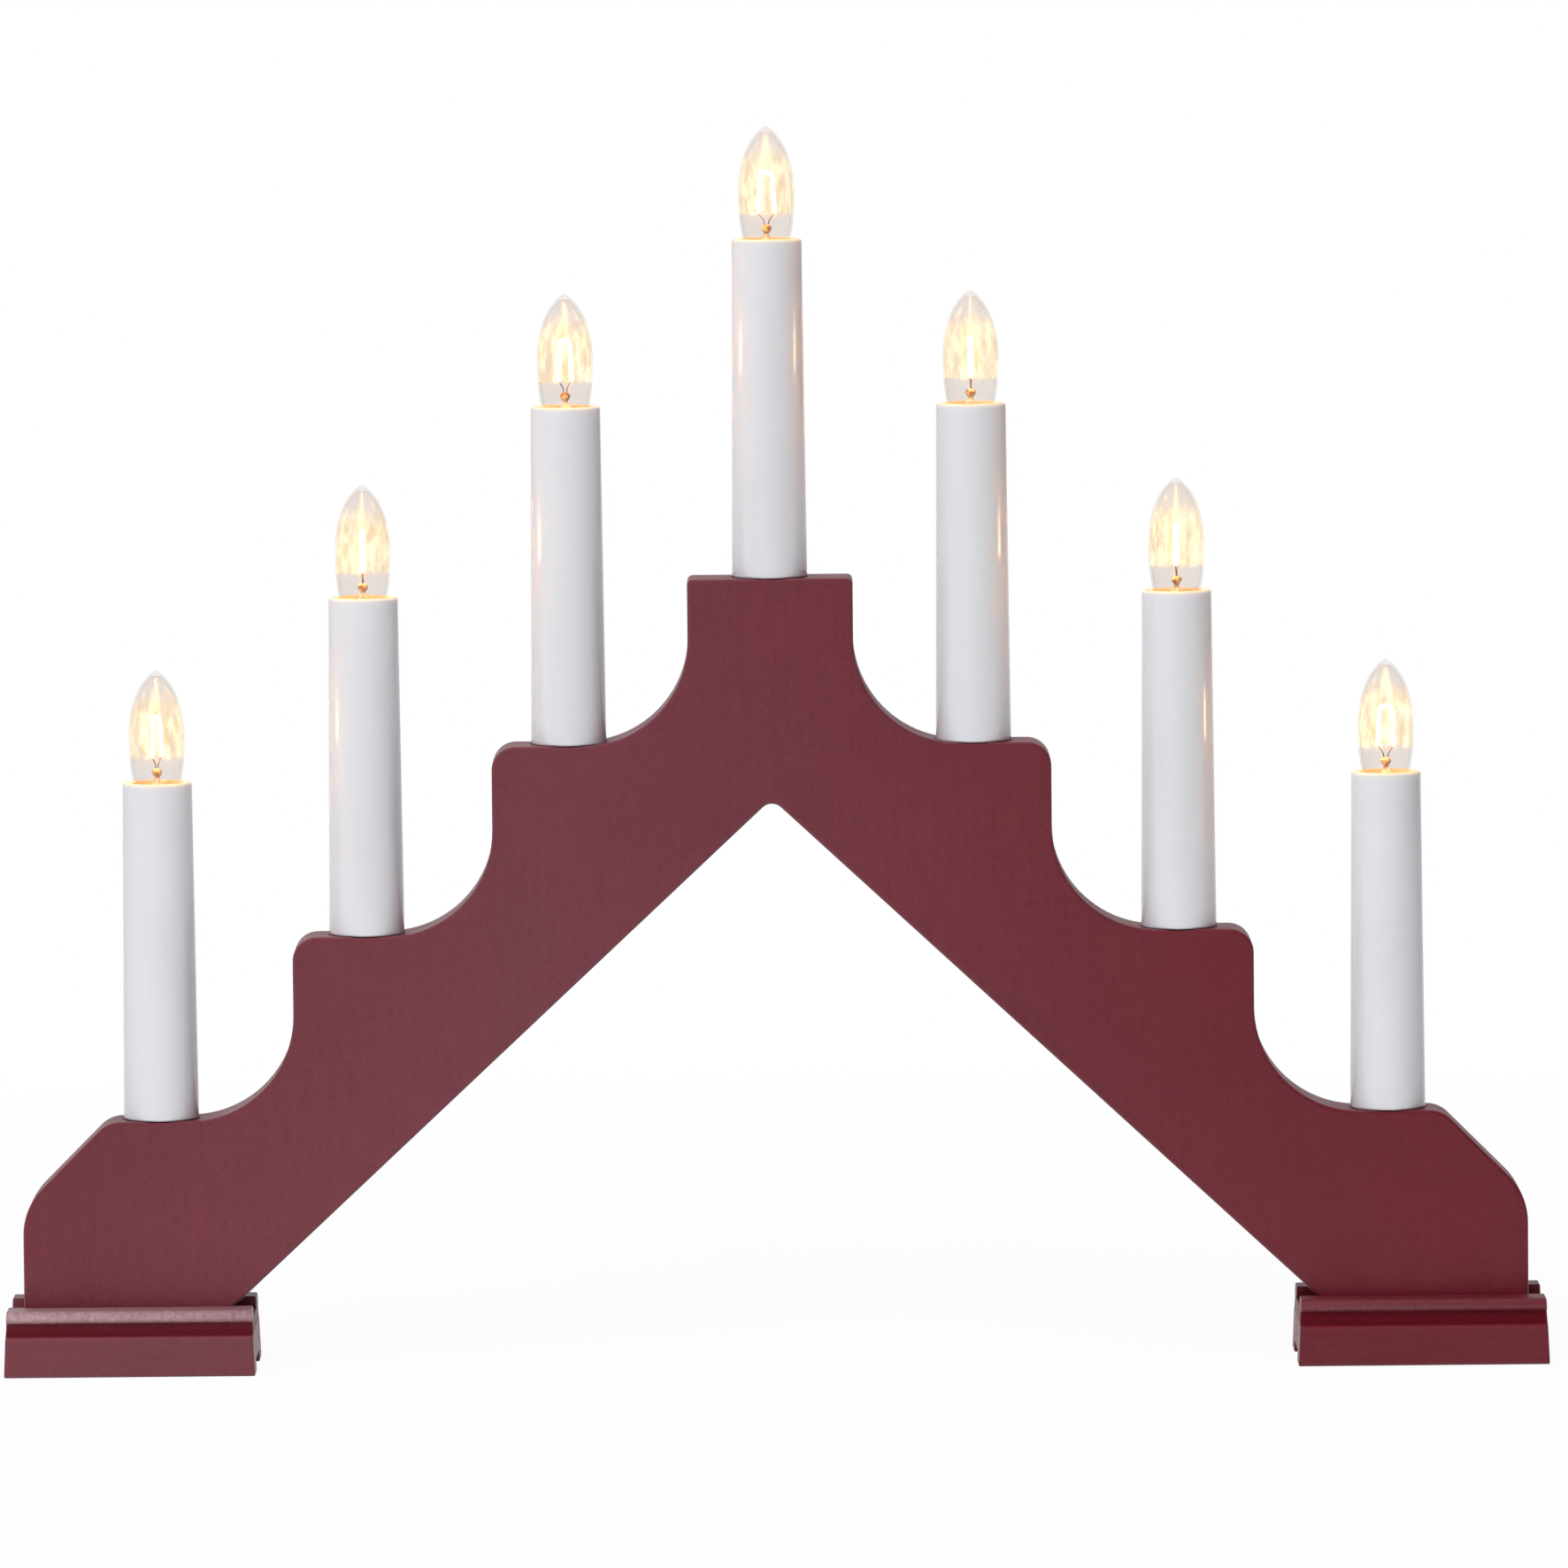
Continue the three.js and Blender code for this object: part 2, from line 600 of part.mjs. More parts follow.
// Mount inside the glass: a tapered glass stem with a bead, two support wires and the filament,
// a hairpin of wire coiled so fine that it shows as one thick strand. Every bulb is screwed home
// at its own turn, so its hairpin faces its own way.
function bulbFilament(turnDegrees) {
  const beadHeight = bulbTip - TIP_TO_BEAD;
  const hairpinTop = bulbTip - TIP_TO_FILAMENT - FILAMENT_RADIUS;
  const hairpinFoot = hairpinTop - FILAMENT_HEIGHT;
  const at = (x, z) => new THREE.Vector3(x, 0, z);
  const stem = revolve([
    [0, neckBottom],
    [NECK_RADIUS - GLASS_WALL - FIT_GAP, neckBottom],
    [STEM_TOP_RADIUS, beadHeight - 2 * BEAD_GLASS_RADIUS],
    [STEM_TOP_RADIUS, beadHeight - BEAD_GLASS_RADIUS],
    [BEAD_GLASS_RADIUS, beadHeight],
    [0, beadHeight + BEAD_GLASS_RADIUS],
  ], SMALL_SIDES);
  const hairpin = wire([
    at(-FILAMENT_FOOT_SPAN / 2, hairpinFoot),
    at(-FILAMENT_TOP_SPAN / 2, hairpinTop),
    at(FILAMENT_TOP_SPAN / 2, hairpinTop),
    at(FILAMENT_FOOT_SPAN / 2, hairpinFoot),
  ], FILAMENT_RADIUS, FILAMENT_BEND_RADIUS, LEAD_SIDES);
  let mount = toSolid(stem).add(toSolid(hairpin));
  for (const side of [-1, 1]) {
    const support = wire([
      at((side * BEAD_GLASS_RADIUS) / 2, beadHeight),
      at((side * FILAMENT_FOOT_SPAN) / 2, hairpinFoot + FILAMENT_RADIUS),
    ], SUPPORT_WIRE_RADIUS, FILAMENT_BEND_RADIUS, 4);
    mount = mount.add(toSolid(support));
  }
  return toGeometry(mount.rotate([0, 0, turnDegrees]));
}

// A wire's way from the socket down the shank and the bore to the groove, as corner points.
// The wire to the centre contact comes up in the front layer, the one from the shell in the rear.
function contactEnd({ x, height }, layer = -LEAD_LAYER_OFFSET) {
  const boreX = x + LEAD_SIDE_OFFSET;
  return [
    new THREE.Vector3(x, 0, height + tongueBottom + TONGUE_THICKNESS / 2),
    new THREE.Vector3(x, 0, height + webBottom - HOLDER_WEB),
    new THREE.Vector3(boreX, layer, height + collarBottom),
    new THREE.Vector3(boreX, layer, grooveHeight(boreX)),
  ];
}

function shellEnd({ x, height }, boreSide = -LEAD_SIDE_OFFSET) {
  const shankX = x - LEAD_SIDE_OFFSET;
  const boreX = x + boreSide;
  const below = height - SHANK_SOCKET_DEPTH;
  return [
    new THREE.Vector3(x + tabX, 0, height + shellBottom - FIT_GAP),
    new THREE.Vector3(x + tabX, 0, height + webBottom - HOLDER_WEB),
    new THREE.Vector3(shankX, LEAD_LAYER_OFFSET, height + collarBottom),
    new THREE.Vector3(shankX, LEAD_LAYER_OFFSET, below),
    new THREE.Vector3(boreX, LEAD_LAYER_OFFSET, below - 2 * SHANK_RADIUS),
    new THREE.Vector3(boreX, LEAD_LAYER_OFFSET, grooveHeight(boreX)),
  ];
}

// The brass tongue under a bulb's pip is soldered to its lead and moves with nothing.
function withTongue(lead, { x, height }) {
  const disc = new THREE.CylinderGeometry(TONGUE_RADIUS, TONGUE_RADIUS, TONGUE_THICKNESS, SMALL_SIDES);
  disc.rotateX(Math.PI / 2).translate(x, 0, height + (tongueBottom + tongueTop) / 2);
  return toGeometry(toSolid(lead).add(toSolid(disc)));
}

function leadBetween(from, to) {
  const corners = [...shellEnd(from), ...contactEnd(to).reverse()];
  return withTongue(wire(corners, LEAD_RADIUS, LEAD_BEND_RADIUS, LEAD_SIDES), to);
}

function grooveTail(layer) {
  const x = LEAD_RADIUS - outerCandleX - GROOVE_TAIL;
  return new THREE.Vector3(x, layer, grooveHeight(x));
}

function feedLead(first) {
  const corners = [...contactEnd(first), grooveTail(-LEAD_LAYER_OFFSET)];
  return withTongue(wire(corners, LEAD_RADIUS, LEAD_BEND_RADIUS, LEAD_SIDES), first);
}

function returnLead(last) {
  const turnX = last.x - GROOVE_TAIL;
  const corners = [
    ...shellEnd(last, LEAD_SIDE_OFFSET),
    new THREE.Vector3(turnX, RETURN_LAYER_OFFSET, grooveHeight(turnX)),
    new THREE.Vector3(0, RETURN_LAYER_OFFSET, grooveCrown),
    grooveTail(RETURN_LAYER_OFFSET),
  ];
  return wire(corners, LEAD_RADIUS, LEAD_BEND_RADIUS, LEAD_SIDES);
}

// Assembly
const arch = new THREE.Group();
arch.name = 'candle_arch';

function addPiece(parent, name, geometry, material) {
  const mesh = new THREE.Mesh(weld(geometry), material);
  mesh.name = name;
  parent.add(mesh);
  return mesh;
}

const candles = [
  { number: 1, x: -outerCandleX, height: outerHeight, turn: 60 },
  { number: 2, x: -middleCandleX, height: middleHeight, turn: 85 },
  { number: 3, x: -innerCandleX, height: innerHeight, turn: 40 },
  { number: 4, x: 0, height: crownHeight, turn: 5 },
  { number: 5, x: innerCandleX, height: innerHeight, turn: 95 },
  { number: 6, x: middleCandleX, height: middleHeight, turn: 80 },
  { number: 7, x: outerCandleX, height: outerHeight, turn: -15 },
];

addPiece(arch, 'arch_board', archBoard(candles), finishes.paint());
const footCentre = (footOuter + footInner) / 2;
addPiece(arch, 'foot_left', footBlock(), finishes.paint()).position.x = -footCentre;
addPiece(arch, 'foot_right', footBlock(), finishes.paint()).position.x = footCentre;

for (const { number, x, height, turn } of candles) {
  const candle = new THREE.Group();
  candle.position.set(x, 0, height);
  addPiece(candle, `candle_sleeve_${number}`, candleSleeve(), finishes.sleeve());
  addPiece(candle, `lamp_holder_${number}`, lampHolder(), finishes.holder());
  addPiece(candle, `socket_shell_${number}`, socketShell(), finishes.brass());
  addPiece(candle, `bulb_pip_${number}`, bulbPip(), finishes.solder());
  addPiece(candle, `bulb_cap_${number}`, bulbCap(), finishes.brass());
  addPiece(candle, `bulb_glass_${number}`, bulbGlass(), finishes.glass());
  addPiece(candle, `bulb_filament_${number}`, bulbFilament(turn), finishes.filament());
  arch.add(candle);
}

addPiece(arch, 'feed_lead', feedLead(candles[0]), finishes.lead());
for (const next of candles.slice(1)) {
  const previous = candles[next.number - 2];
  const name = `lead_${previous.number}_to_${next.number}`;
  addPiece(arch, name, leadBetween(previous, next), finishes.lead());
}
addPiece(arch, 'return_lead', returnLead(candles.at(-1)), finishes.lead());

export default arch;
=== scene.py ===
"""Looks of the electric candle arch: painted board and feet, white sleeves, and seven lit bulbs.

Metres, in the part's own frame: X along the arch, Y from front to back, Z up from the floor.
"""

import math

import bmesh
import bpy
from mathutils import Matrix, Vector


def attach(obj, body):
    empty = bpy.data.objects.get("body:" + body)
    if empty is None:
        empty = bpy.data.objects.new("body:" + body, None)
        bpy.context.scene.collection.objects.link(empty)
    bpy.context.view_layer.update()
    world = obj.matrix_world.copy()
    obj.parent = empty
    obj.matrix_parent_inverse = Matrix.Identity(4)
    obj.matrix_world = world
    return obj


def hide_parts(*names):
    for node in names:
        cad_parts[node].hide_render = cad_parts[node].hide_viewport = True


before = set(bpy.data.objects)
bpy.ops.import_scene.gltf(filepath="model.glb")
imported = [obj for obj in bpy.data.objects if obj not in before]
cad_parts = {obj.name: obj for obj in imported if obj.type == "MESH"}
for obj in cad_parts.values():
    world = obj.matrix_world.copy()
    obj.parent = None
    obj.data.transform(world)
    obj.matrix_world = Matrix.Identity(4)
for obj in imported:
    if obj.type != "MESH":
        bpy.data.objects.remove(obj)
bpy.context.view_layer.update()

MM = 0.001
ROOT = "arch"
CANDLES = range(1, 8)

# Places along the arch, seat heights and the turns of the hairpins about their candles. These and
# most sizes below follow the part's source, in millimetres and degrees.
PLACES = {1: -183.7, 2: -121.5, 3: -60.5, 4: 0.0, 5: 60.5, 6: 121.5, 7: 183.7}
SEATS = {1: 75.1, 2: 130.0, 3: 186.5, 4: 236.0, 5: 186.5, 6: 130.0, 7: 75.1}
TURNS = {1: 60, 2: 85, 3: 40, 4: 5, 5: 95, 6: 80, 7: -15}
OUTER_SEAT, MIDDLE_SEAT, INNER_SEAT, CROWN_SEAT = (SEATS[n] for n in (1, 2, 3, 4))

# Board
BOARD_HALF = 11.4
EASE = 1.0
CROWN_EDGE, INNER_EDGE, MIDDLE_EDGE = 24.7, 83.5, 143.5
LEG_OUT, LEG_IN, LEG_LOW = 225.0, 165.1, 16.7
COVE, SHOULDER, CROWN_CORNER = 31.5, 7, 1.6
HAUNCH, HAUNCH_TOP, HAUNCH_SIDE = 25.6, 9, 20
APEX_HEIGHT, APEX = 170.2, 4
SEAT_DEPTH, SOCKET_DEPTH = 0.3, 12.5
SLEEVE_BORE, SHANK_BORE, WIRE_BORE = 11.55, 5.8, 4.5
GROOVE_CROWN, GROOVE_OUTER = CROWN_SEAT - 43, OUTER_SEAT - 40
GROOVE_SLOPE = (GROOVE_CROWN - GROOVE_OUTER) / PLACES[7]
GROOVE_HALF, GROOVE_TAIL = 2.7, 8
GROOVE_FRONT = -2.5

# Feet
FOOT_PLACE, FOOT_HALF, FOOT_HALF_DEPTH, FOOT_HEIGHT = 193.1, 37.5, 25.0, 19.8
FASCIA, HOLLOW, BEAD, BEAD_OUT = 12.0, 3.7, 2.05, 21.95
DADO_HALF, DADO_FLOOR, RELIEF_HALF, RELIEF_TOP = 11.7, 16.4, 12.2, 3.4
END_DRAFT = 0.9
FLOOR_EDGE = 1.1

# Sleeves. Heights from here on are above the seat.
SLEEVE_TOP, SLEEVE_TOP_RADIUS, SLEEVE_FOOT_RADIUS = 101.0, 10.4, 11.25
RIM_ROUNDING, FOOT_ROUNDING = 1.0, 0.7
LIP_UNDERSIDE, LIP_RADIUS = 99.6, 7.93
HOLLOW_TOP_RADIUS, HOLLOW_FOOT_RADIUS = 9.2, 10.05

# Bulbs
BULB_TIP = 134.4
BULB_BEAD = BULB_TIP - 30.5
GLASS_RADIUS, GLASS_WALL = 8.33, 0.6
GLASS_NECK, GLASS_WAIST = 94.4, BULB_TIP - 20
GLASS_MOUTH, NECK_RADIUS, MOUTH_RADIUS = 86.8, 3.5, 2.9
HAIRPIN_TOP, HAIRPIN_FOOT = BULB_TIP - 13.3, BULB_TIP - 25.5
HAIRPIN_TOP_HALF, HAIRPIN_FOOT_HALF = 1.8, 2.5
STRAND_RADIUS, SUPPORT_WIRE_RADIUS = 0.5, 0.16

# Leads. Their layers are distances in front of or behind the middle of the board.
LEAD_RADIUS, LEAD_BEND, LEAD_END_GAP = 0.86, 3.0, 0.9
LEAD_SIDE, LEAD_LAYER, RETURN_LAYER = 1.2, 1.3, 4
CONTACT_LEAD_TOP, SHELL_LEAD_TOP, SHELL_TAB = 83.2, 83.4, 4.39
WEB_UNDERSIDE, COLLAR_UNDERSIDE, BORE_ENTRY = 79.1, 71.3, -23.5
TONGUE_LOW, TONGUE_HIGH, TONGUE_RADIUS = 83.4, 83.8, 2.2


# Mesh helpers

# A smaller radius than POLE is a pole, and points closer than MERGE are one, in millimetres
POLE, MERGE = 1e-6, 1e-5


def rounded_outline(corners, tolerance=0.02):
    """Closed outline in the XZ plane through corners of (x, z, radius), each rounded by an arc."""
    points = []
    count = len(corners)
    for index, (x, z, radius) in enumerate(corners):
        corner = Vector((x, z))
        if radius == 0:
            points.append(corner)
            continue
        before = (Vector(corners[index - 1][:2]) - corner).normalized()
        after = (Vector(corners[(index + 1) % count][:2]) - corner).normalized()
        half = math.acos(before.dot(after)) / 2
        start = corner + before * (radius / math.tan(half))
        centre = corner + (before + after).normalized() * (radius / math.sin(half))
        cross = before.x * after.y - before.y * after.x
        turn = (math.pi - 2 * half) * -math.copysign(1, cross)
        steps = max(3, math.ceil(abs(turn) / (2 * math.acos(1 - tolerance / radius))))
        arm = start - centre
        for k in range(steps + 1):
            angle = turn * k / steps
            c, s = math.cos(angle), math.sin(angle)
            points.append(centre + Vector((arm.x * c - arm.y * s, arm.x * s + arm.y * c)))
    return points


def inset(points, distance):
    """The closed outline drawn in by a distance, whichever way round it runs."""
    area = sum(a.x * b.y - b.x * a.y for a, b in zip(points, points[1:] + points[:1]))
    sign = 1 if area > 0 else -1
    sharpest = 0.3
    result = []
    for index, point in enumerate(points):
        before = (point - points[index - 1]).normalized()
        after = (points[(index + 1) % len(points)] - point).normalized()
        normals = [Vector((-d.y, d.x)) * sign for d in (before, after)]
        middle = (normals[0] + normals[1]).normalized()
        result.append(point + middle * (distance / max(sharpest, middle.dot(normals[0]))))
    return result


def new_object(name, bm, smooth=30):
    """Makes an object of a bmesh in millimetres, with smooth shading up to an edge angle."""
    bmesh.ops.recalc_face_normals(bm, faces=bm.faces)
    bmesh.ops.scale(bm, vec=(MM, MM, MM), verts=bm.verts)
    for face in bm.faces:
        face.smooth = True
    mesh = bpy.data.meshes.new(name)
    bm.to_mesh(mesh)
    bm.free()
    mesh.set_sharp_from_angle(angle=math.radians(smooth))
    obj = bpy.data.objects.new(name, mesh)
    bpy.context.scene.collection.objects.link(obj)
    return obj


def skin(bm, rings, closed=True, capped=True):
    """Joins rings of equal length by quads, and caps the ends. A ring of one point is a pole."""
    made = [[bm.verts.new(p) for p in ring] for ring in rings]
    for a, b in zip(made, made[1:]):
        n = max(len(a), len(b))
        for k in range(n if closed else n - 1):
            m = (k + 1) % n
            quad = [a[k % len(a)], a[m % len(a)], b[m % len(b)], b[k % len(b)]]
            face = list(dict.fromkeys(quad))
            if len(face) > 2:
                bm.faces.new(face)
    if capped:
        bm.faces.new(list(reversed(made[0])))
        bm.faces.new(made[-1])


def lathe_rings(profile, segments, ripple=None):
    """Rings of a revolved profile. A ripple adds to the radius, by (angle, radius, height)."""
    rings = []
    for radius, height in profile:
        if radius < POLE:
            rings.append([Vector((0, 0, height))])
            continue
        ring = []
        for k in range(segments):
            angle = 2 * math.pi * k / segments
            r = radius + (ripple(angle, radius, height) if ripple else 0)
            ring.append(Vector((r * math.cos(angle), r * math.sin(angle), height)))
        rings.append(ring)
    return rings


def lathe(name, profile, segments, at, ripple=None, loop=False, smooth=30):
    """Revolves a profile of (radius, height). A loop joins its last ring to its first."""
    bm = bmesh.new()
    rings = lathe_rings(profile, segments, ripple)
    if loop:
        rings.append(rings[0])
    skin(bm, rings, capped=False)
    bmesh.ops.remove_doubles(bm, verts=bm.verts, dist=MERGE)
    bmesh.ops.translate(bm, vec=at, verts=bm.verts)
    return new_object(name, bm, smooth)


def arc(cx, cz, radius, start, end, steps):
    """Points of an arc in a profile, between two angles in degrees."""
    angles = [math.radians(start + (end - start) * k / steps) for k in range(steps + 1)]
    return [(cx + radius * math.cos(a), cz + radius * math.sin(a)) for a in angles]


def round_route(corners, bend, step=0.2):
    """Points of a path through 3-D corners, with an arc at each. Arcs take at most 0.9 of a leg."""
    straight = 0.01
    points = [corners[0]]
    for before, corner, after in zip(corners, corners[1:], corners[2:]):
        inward, outward = corner - before, after - corner
        room = 0.45 * min(inward.length, outward.length)
        inward.normalize()
        outward.normalize()
        turn = inward.angle(outward)
        if turn < straight:
            points.append(corner)
            continue
        radius = min(bend, room / math.tan(turn / 2))
        start = corner - inward * (radius * math.tan(turn / 2))
        side = (outward - inward * outward.dot(inward)).normalized()
        steps = math.ceil(turn / step)
        for k in range(steps + 1):
            a = turn * k / steps
            along, across = radius * math.sin(a), radius * (1 - math.cos(a))
            points.append(start + inward * along + side * across)
    points.append(corners[-1])
    return points


def sweep(bm, points, radius, sides, round_ends=False):
    """A closed tube along points, with a frame that doesn't twist. Its ends are flat or domed."""
    tangents = []
    for k in range(len(points)):
        a = points[max(0, k - 1)]
        b = points[min(len(points) - 1, k + 1)]
        tangents.append((b - a).normalized())
    normal = tangents[0].orthogonal().normalized()
    rings = []
    for point, tangent in zip(points, tangents):
        normal = (normal - tangent * normal.dot(tangent)).normalized()
        across = tangent.cross(normal)
        rings.append([
            point + (normal * math.cos(a) + across * math.sin(a)) * radius
            for a in (2 * math.pi * j / sides for j in range(sides))
        ])
    if round_ends:
        for end, tangent, way in ((0, tangents[0], -1), (-1, tangents[-1], 1)):
            centre, ring = points[end], rings[end]
            domes = []
            for a in (30, 60):
                c, s = math.cos(math.radians(a)), math.sin(math.radians(a))
                reach = tangent * (way * radius * s)
                domes.append([centre + (p - centre) * c + reach for p in ring])
            domes.append([centre + tangent * (way * radius)])
            rings = rings + domes if way == 1 else list(reversed(domes)) + rings
    skin(bm, rings, capped=not round_ends)


def weight_normals(obj):
    """Shades large faces flat, and lets the small faces of an edge turn between them."""
    modifier = obj.modifiers.new("flat faces stay flat", "WEIGHTED_NORMAL")
    modifier.keep_sharp = True
    modifier.weight = 100


# Materials

class Nodes:
    """The node tree of a material or of the world, with short ways to add and join nodes."""

    def __init__(self, owner, output="ShaderNodeOutputMaterial"):
        owner.use_nodes = True
        self.tree = owner.node_tree
        self.tree.nodes.clear()
        self.out = self.add(output)

    def add(self, kind, **values):
        node = self.tree.nodes.new(kind)
        for key, value in values.items():
            setattr(node, key, value)
        return node

    def join(self, source, target):
        self.tree.links.new(source, target)

    def coordinates(self, scale=(1, 1, 1), offset=(0, 0, 0)):
        """Object coordinates in metres, scaled and moved."""
        source = self.add("ShaderNodeTexCoord")
        mapping = self.add("ShaderNodeMapping")
        mapping.inputs["Scale"].default_value = scale
        mapping.inputs["Location"].default_value = offset
        self.join(source.outputs["Object"], mapping.inputs["Vector"])
        return mapping.outputs["Vector"]

    def noise(self, vector, scale, detail=3.0, roughness=0.5):
        node = self.add("ShaderNodeTexNoise")
        node.inputs["Scale"].default_value = scale
        node.inputs["Detail"].default_value = detail
        node.inputs["Roughness"].default_value = roughness
        self.join(vector, node.inputs["Vector"])
        return node.outputs["Fac"]

    def ramp(self, factor, stops):
        """Colours from stops of (factor, colour)."""
        node = self.add("ShaderNodeValToRGB")
        elements = node.color_ramp.elements
        elements[0].position, elements[0].color = stops[0][0], (*stops[0][1], 1)
        elements[1].position, elements[1].color = stops[-1][0], (*stops[-1][1], 1)
        for position, color in stops[1:-1]:
            elements.new(position).color = (*color, 1)
        self.join(factor, node.inputs["Fac"])
        return node.outputs["Color"]

    def value_ramp(self, factor, stops):
        return self.ramp(factor, [(p, (v, v, v)) for p, v in stops])

    def combine(self, operation, a, b):
        """Two colours, channel by channel."""
        node = self.add("ShaderNodeVectorMath", operation=operation)
        self.join(a, node.inputs[0])
        self.join(b, node.inputs[1])
        return node.outputs["Vector"]

    def mix(self, factor, a, b, kind="RGBA", blend="MIX"):
        """Mixes two values. The factor and the values are outputs or plain ones."""
        node = self.add("ShaderNodeMix", data_type=kind, blend_type=blend)
        for value, socket in ((factor, "Factor"), (a, "A"), (b, "B")):
            if isinstance(value, (float, tuple)):
                node.inputs[socket].default_value = value
            else:
                self.join(value, node.inputs[socket])
        return node.outputs["Result"]

    def number(self, operation, a, b):
        """Arithmetic on two values, each an output or a plain number."""
        node = self.add("ShaderNodeMath", operation=operation)
        for value, socket in zip((a, b), node.inputs):
            if isinstance(value, float):
                socket.default_value = value
            else:
                self.join(value, socket)
        return node.outputs["Value"]

    def distance(self, vector):
        node = self.add("ShaderNodeVectorMath", operation="LENGTH")
        self.join(vector, node.inputs["Vector"])
        return node.outputs["Value"]

    def place(self, axis, low, high):
        """The place along an object axis, from 0 at low to 1 at high, both in metres."""
        split = self.add("ShaderNodeSeparateXYZ")
        self.join(self.coordinates(), split.inputs["Vector"])
        return self.share(split.outputs[axis], low, high)

    def share(self, value, low, high, start=0.0, end=1.0, kind="LINEAR"):
        """Takes a value from low to high over into one from start to end, and no further."""
        node = self.add("ShaderNodeMapRange", clamp=True, interpolation_type=kind)
        limits = {"From Min": low, "From Max": high, "To Min": start, "To Max": end}
        for name, limit in limits.items():
            node.inputs[name].default_value = limit
        self.join(value, node.inputs["Value"])
        return node.outputs["Result"]

    def profile(self, axis, stops):
        """A value along an object axis, from stops of (millimetres, value)."""
        low, high = stops[0][0], stops[-1][0]
        scaled = [((p - low) / (high - low), v) for p, v in stops]
        return self.value_ramp(self.place(axis, low * MM, high * MM), scaled)

    def bump(self, height, strength, distance, after=None):
        node = self.add("ShaderNodeBump")
        node.inputs["Strength"].default_value = strength
        node.inputs["Distance"].default_value = distance
        self.join(height, node.inputs["Height"])
        if after:
            self.join(after, node.inputs["Normal"])
        return node.outputs["Normal"]

    def mix_shader(self, factor, a, b):
        node = self.add("ShaderNodeMixShader")
        for value, socket in zip((factor, a, b), node.inputs):
            self.join(value, socket)
        return node.outputs["Shader"]

    def principled(self, **values):
        node = self.add("ShaderNodeBsdfPrincipled")
        for key, value in values.items():
            node.inputs[key.replace("_", " ")].default_value = value
        self.join(node.outputs["BSDF"], self.out.inputs["Surface"])
        return node


def new_material(name):
    material = bpy.data.materials.new(name)
    return material, Nodes(material)


# Painted sheen along the arch, a grey veil of reflected light, most at the left: (x, how much white
# it adds)
BOARD_PAINTED_SHEEN = [
    (-230, 0.019), (-150, 0.026), (-70, 0.033), (0, 0.026), (70, 0.016), (130, 0.008), (230, 0.002),
]
# Painted sheen on the feet, the same grey veil of reflected light: (x, how much white it adds)
FOOT_PAINTED_SHEEN = [(-230, 0.03), (-150, 0.03), (150, 0.001), (230, 0.001)]
# In a foot's hollow moulding, (height, part): the paint's brightness with painted shade and
# highlights, its painted sheen and its gloss
HOLLOW_PAINTED_SHADE_AND_HIGHLIGHT = [
    (10.6, 1.0), (11.3, 1.2), (12.0, 1.25), (12.4, 0.74), (13.6, 0.78), (15.0, 1.6), (16.4, 1.0),
]
HOLLOW_PAINTED_SHEEN = [(12.0, 1.0), (12.4, 0.1), (14.0, 0.15), (15.0, 0.6), (16.4, 1.0)]
HOLLOW_GLOSS = [(12.0, 0.5), (12.4, 0.12), (16.2, 0.12), (17.2, 0.5)]
DARK_PAINT, LIGHT_PAINT = (0.128, 0.008, 0.0165), (0.146, 0.0096, 0.0192)
# Pale paint for the painted highlight on the feet's beads
BEAD_HIGHLIGHT_PAINT = (0.58, 0.41, 0.44, 1)


def painted_wood(name, seed, grain, painted_sheen, bead_highlight=None):
    """Satin paint, brushed thin along its grain: slow changes of tone, marks, mottle and a painted
    sheen.

    A bead highlight gives a foot's bead a painted highlight: its heights, dark end, pale end and
    most paleness. A foot's hollow also gets painted shade.
    """
    material, n = new_material(name)
    shader = n.principled(IOR=1.45)
    spread = n.coordinates(offset=(seed, seed * 0.7, 0))
    brushed = n.coordinates(scale=grain, offset=(seed, 0, seed))
    slow = n.ramp(n.noise(spread, 16, 2.0), [(0.3, DARK_PAINT), (0.7, LIGHT_PAINT)])
    mottle = n.noise(spread, 900, 3.0, 0.6)
    marks = n.noise(brushed, 520, 4.0, 0.6)
    fine = n.mix(0.35, mottle, marks, "FLOAT")
    shade = n.value_ramp(fine, [(0.3, 0.84), (0.7, 1.15)])
    color = n.combine("MULTIPLY", slow, shade)
    # Painted sheen: a grey veil of reflected light added over the paint, more to the left
    veil = n.combine("MULTIPLY", n.profile("X", painted_sheen), shade)
    pinkish = n.ramp(n.noise(spread, 30, 2.0), [(0.3, (1.0, 1.0, 1.15)), (0.7, (1.0, 1.0, 1.25))])
    veil = n.combine("MULTIPLY", veil, pinkish)
    if bead_highlight:
        # Painted shade in the foot's hollow, painted highlights at its edges, and less painted
        # sheen there
        color = n.combine("MULTIPLY", color, n.profile("Z", HOLLOW_PAINTED_SHADE_AND_HIGHLIGHT))
        veil = n.combine("MULTIPLY", veil, n.profile("Z", HOLLOW_PAINTED_SHEEN))
        n.join(n.profile("Z", HOLLOW_GLOSS), shader.inputs["Specular IOR Level"])
    painted = n.combine("ADD", color, veil)
    if bead_highlight:
        painted = paint_bead_highlight(n, painted, *bead_highlight)
    n.join(painted, shader.inputs["Base Color"])
    rough = n.value_ramp(n.noise(spread, 90, 3.0), [(0.3, 0.38), (0.7, 0.48)])
    n.join(rough, shader.inputs["Roughness"])
    streaked = n.bump(marks, 0.2, 0.0004)
    n.join(n.bump(mottle, 0.25, 0.0002, streaked), shader.inputs["Normal"])
    return material


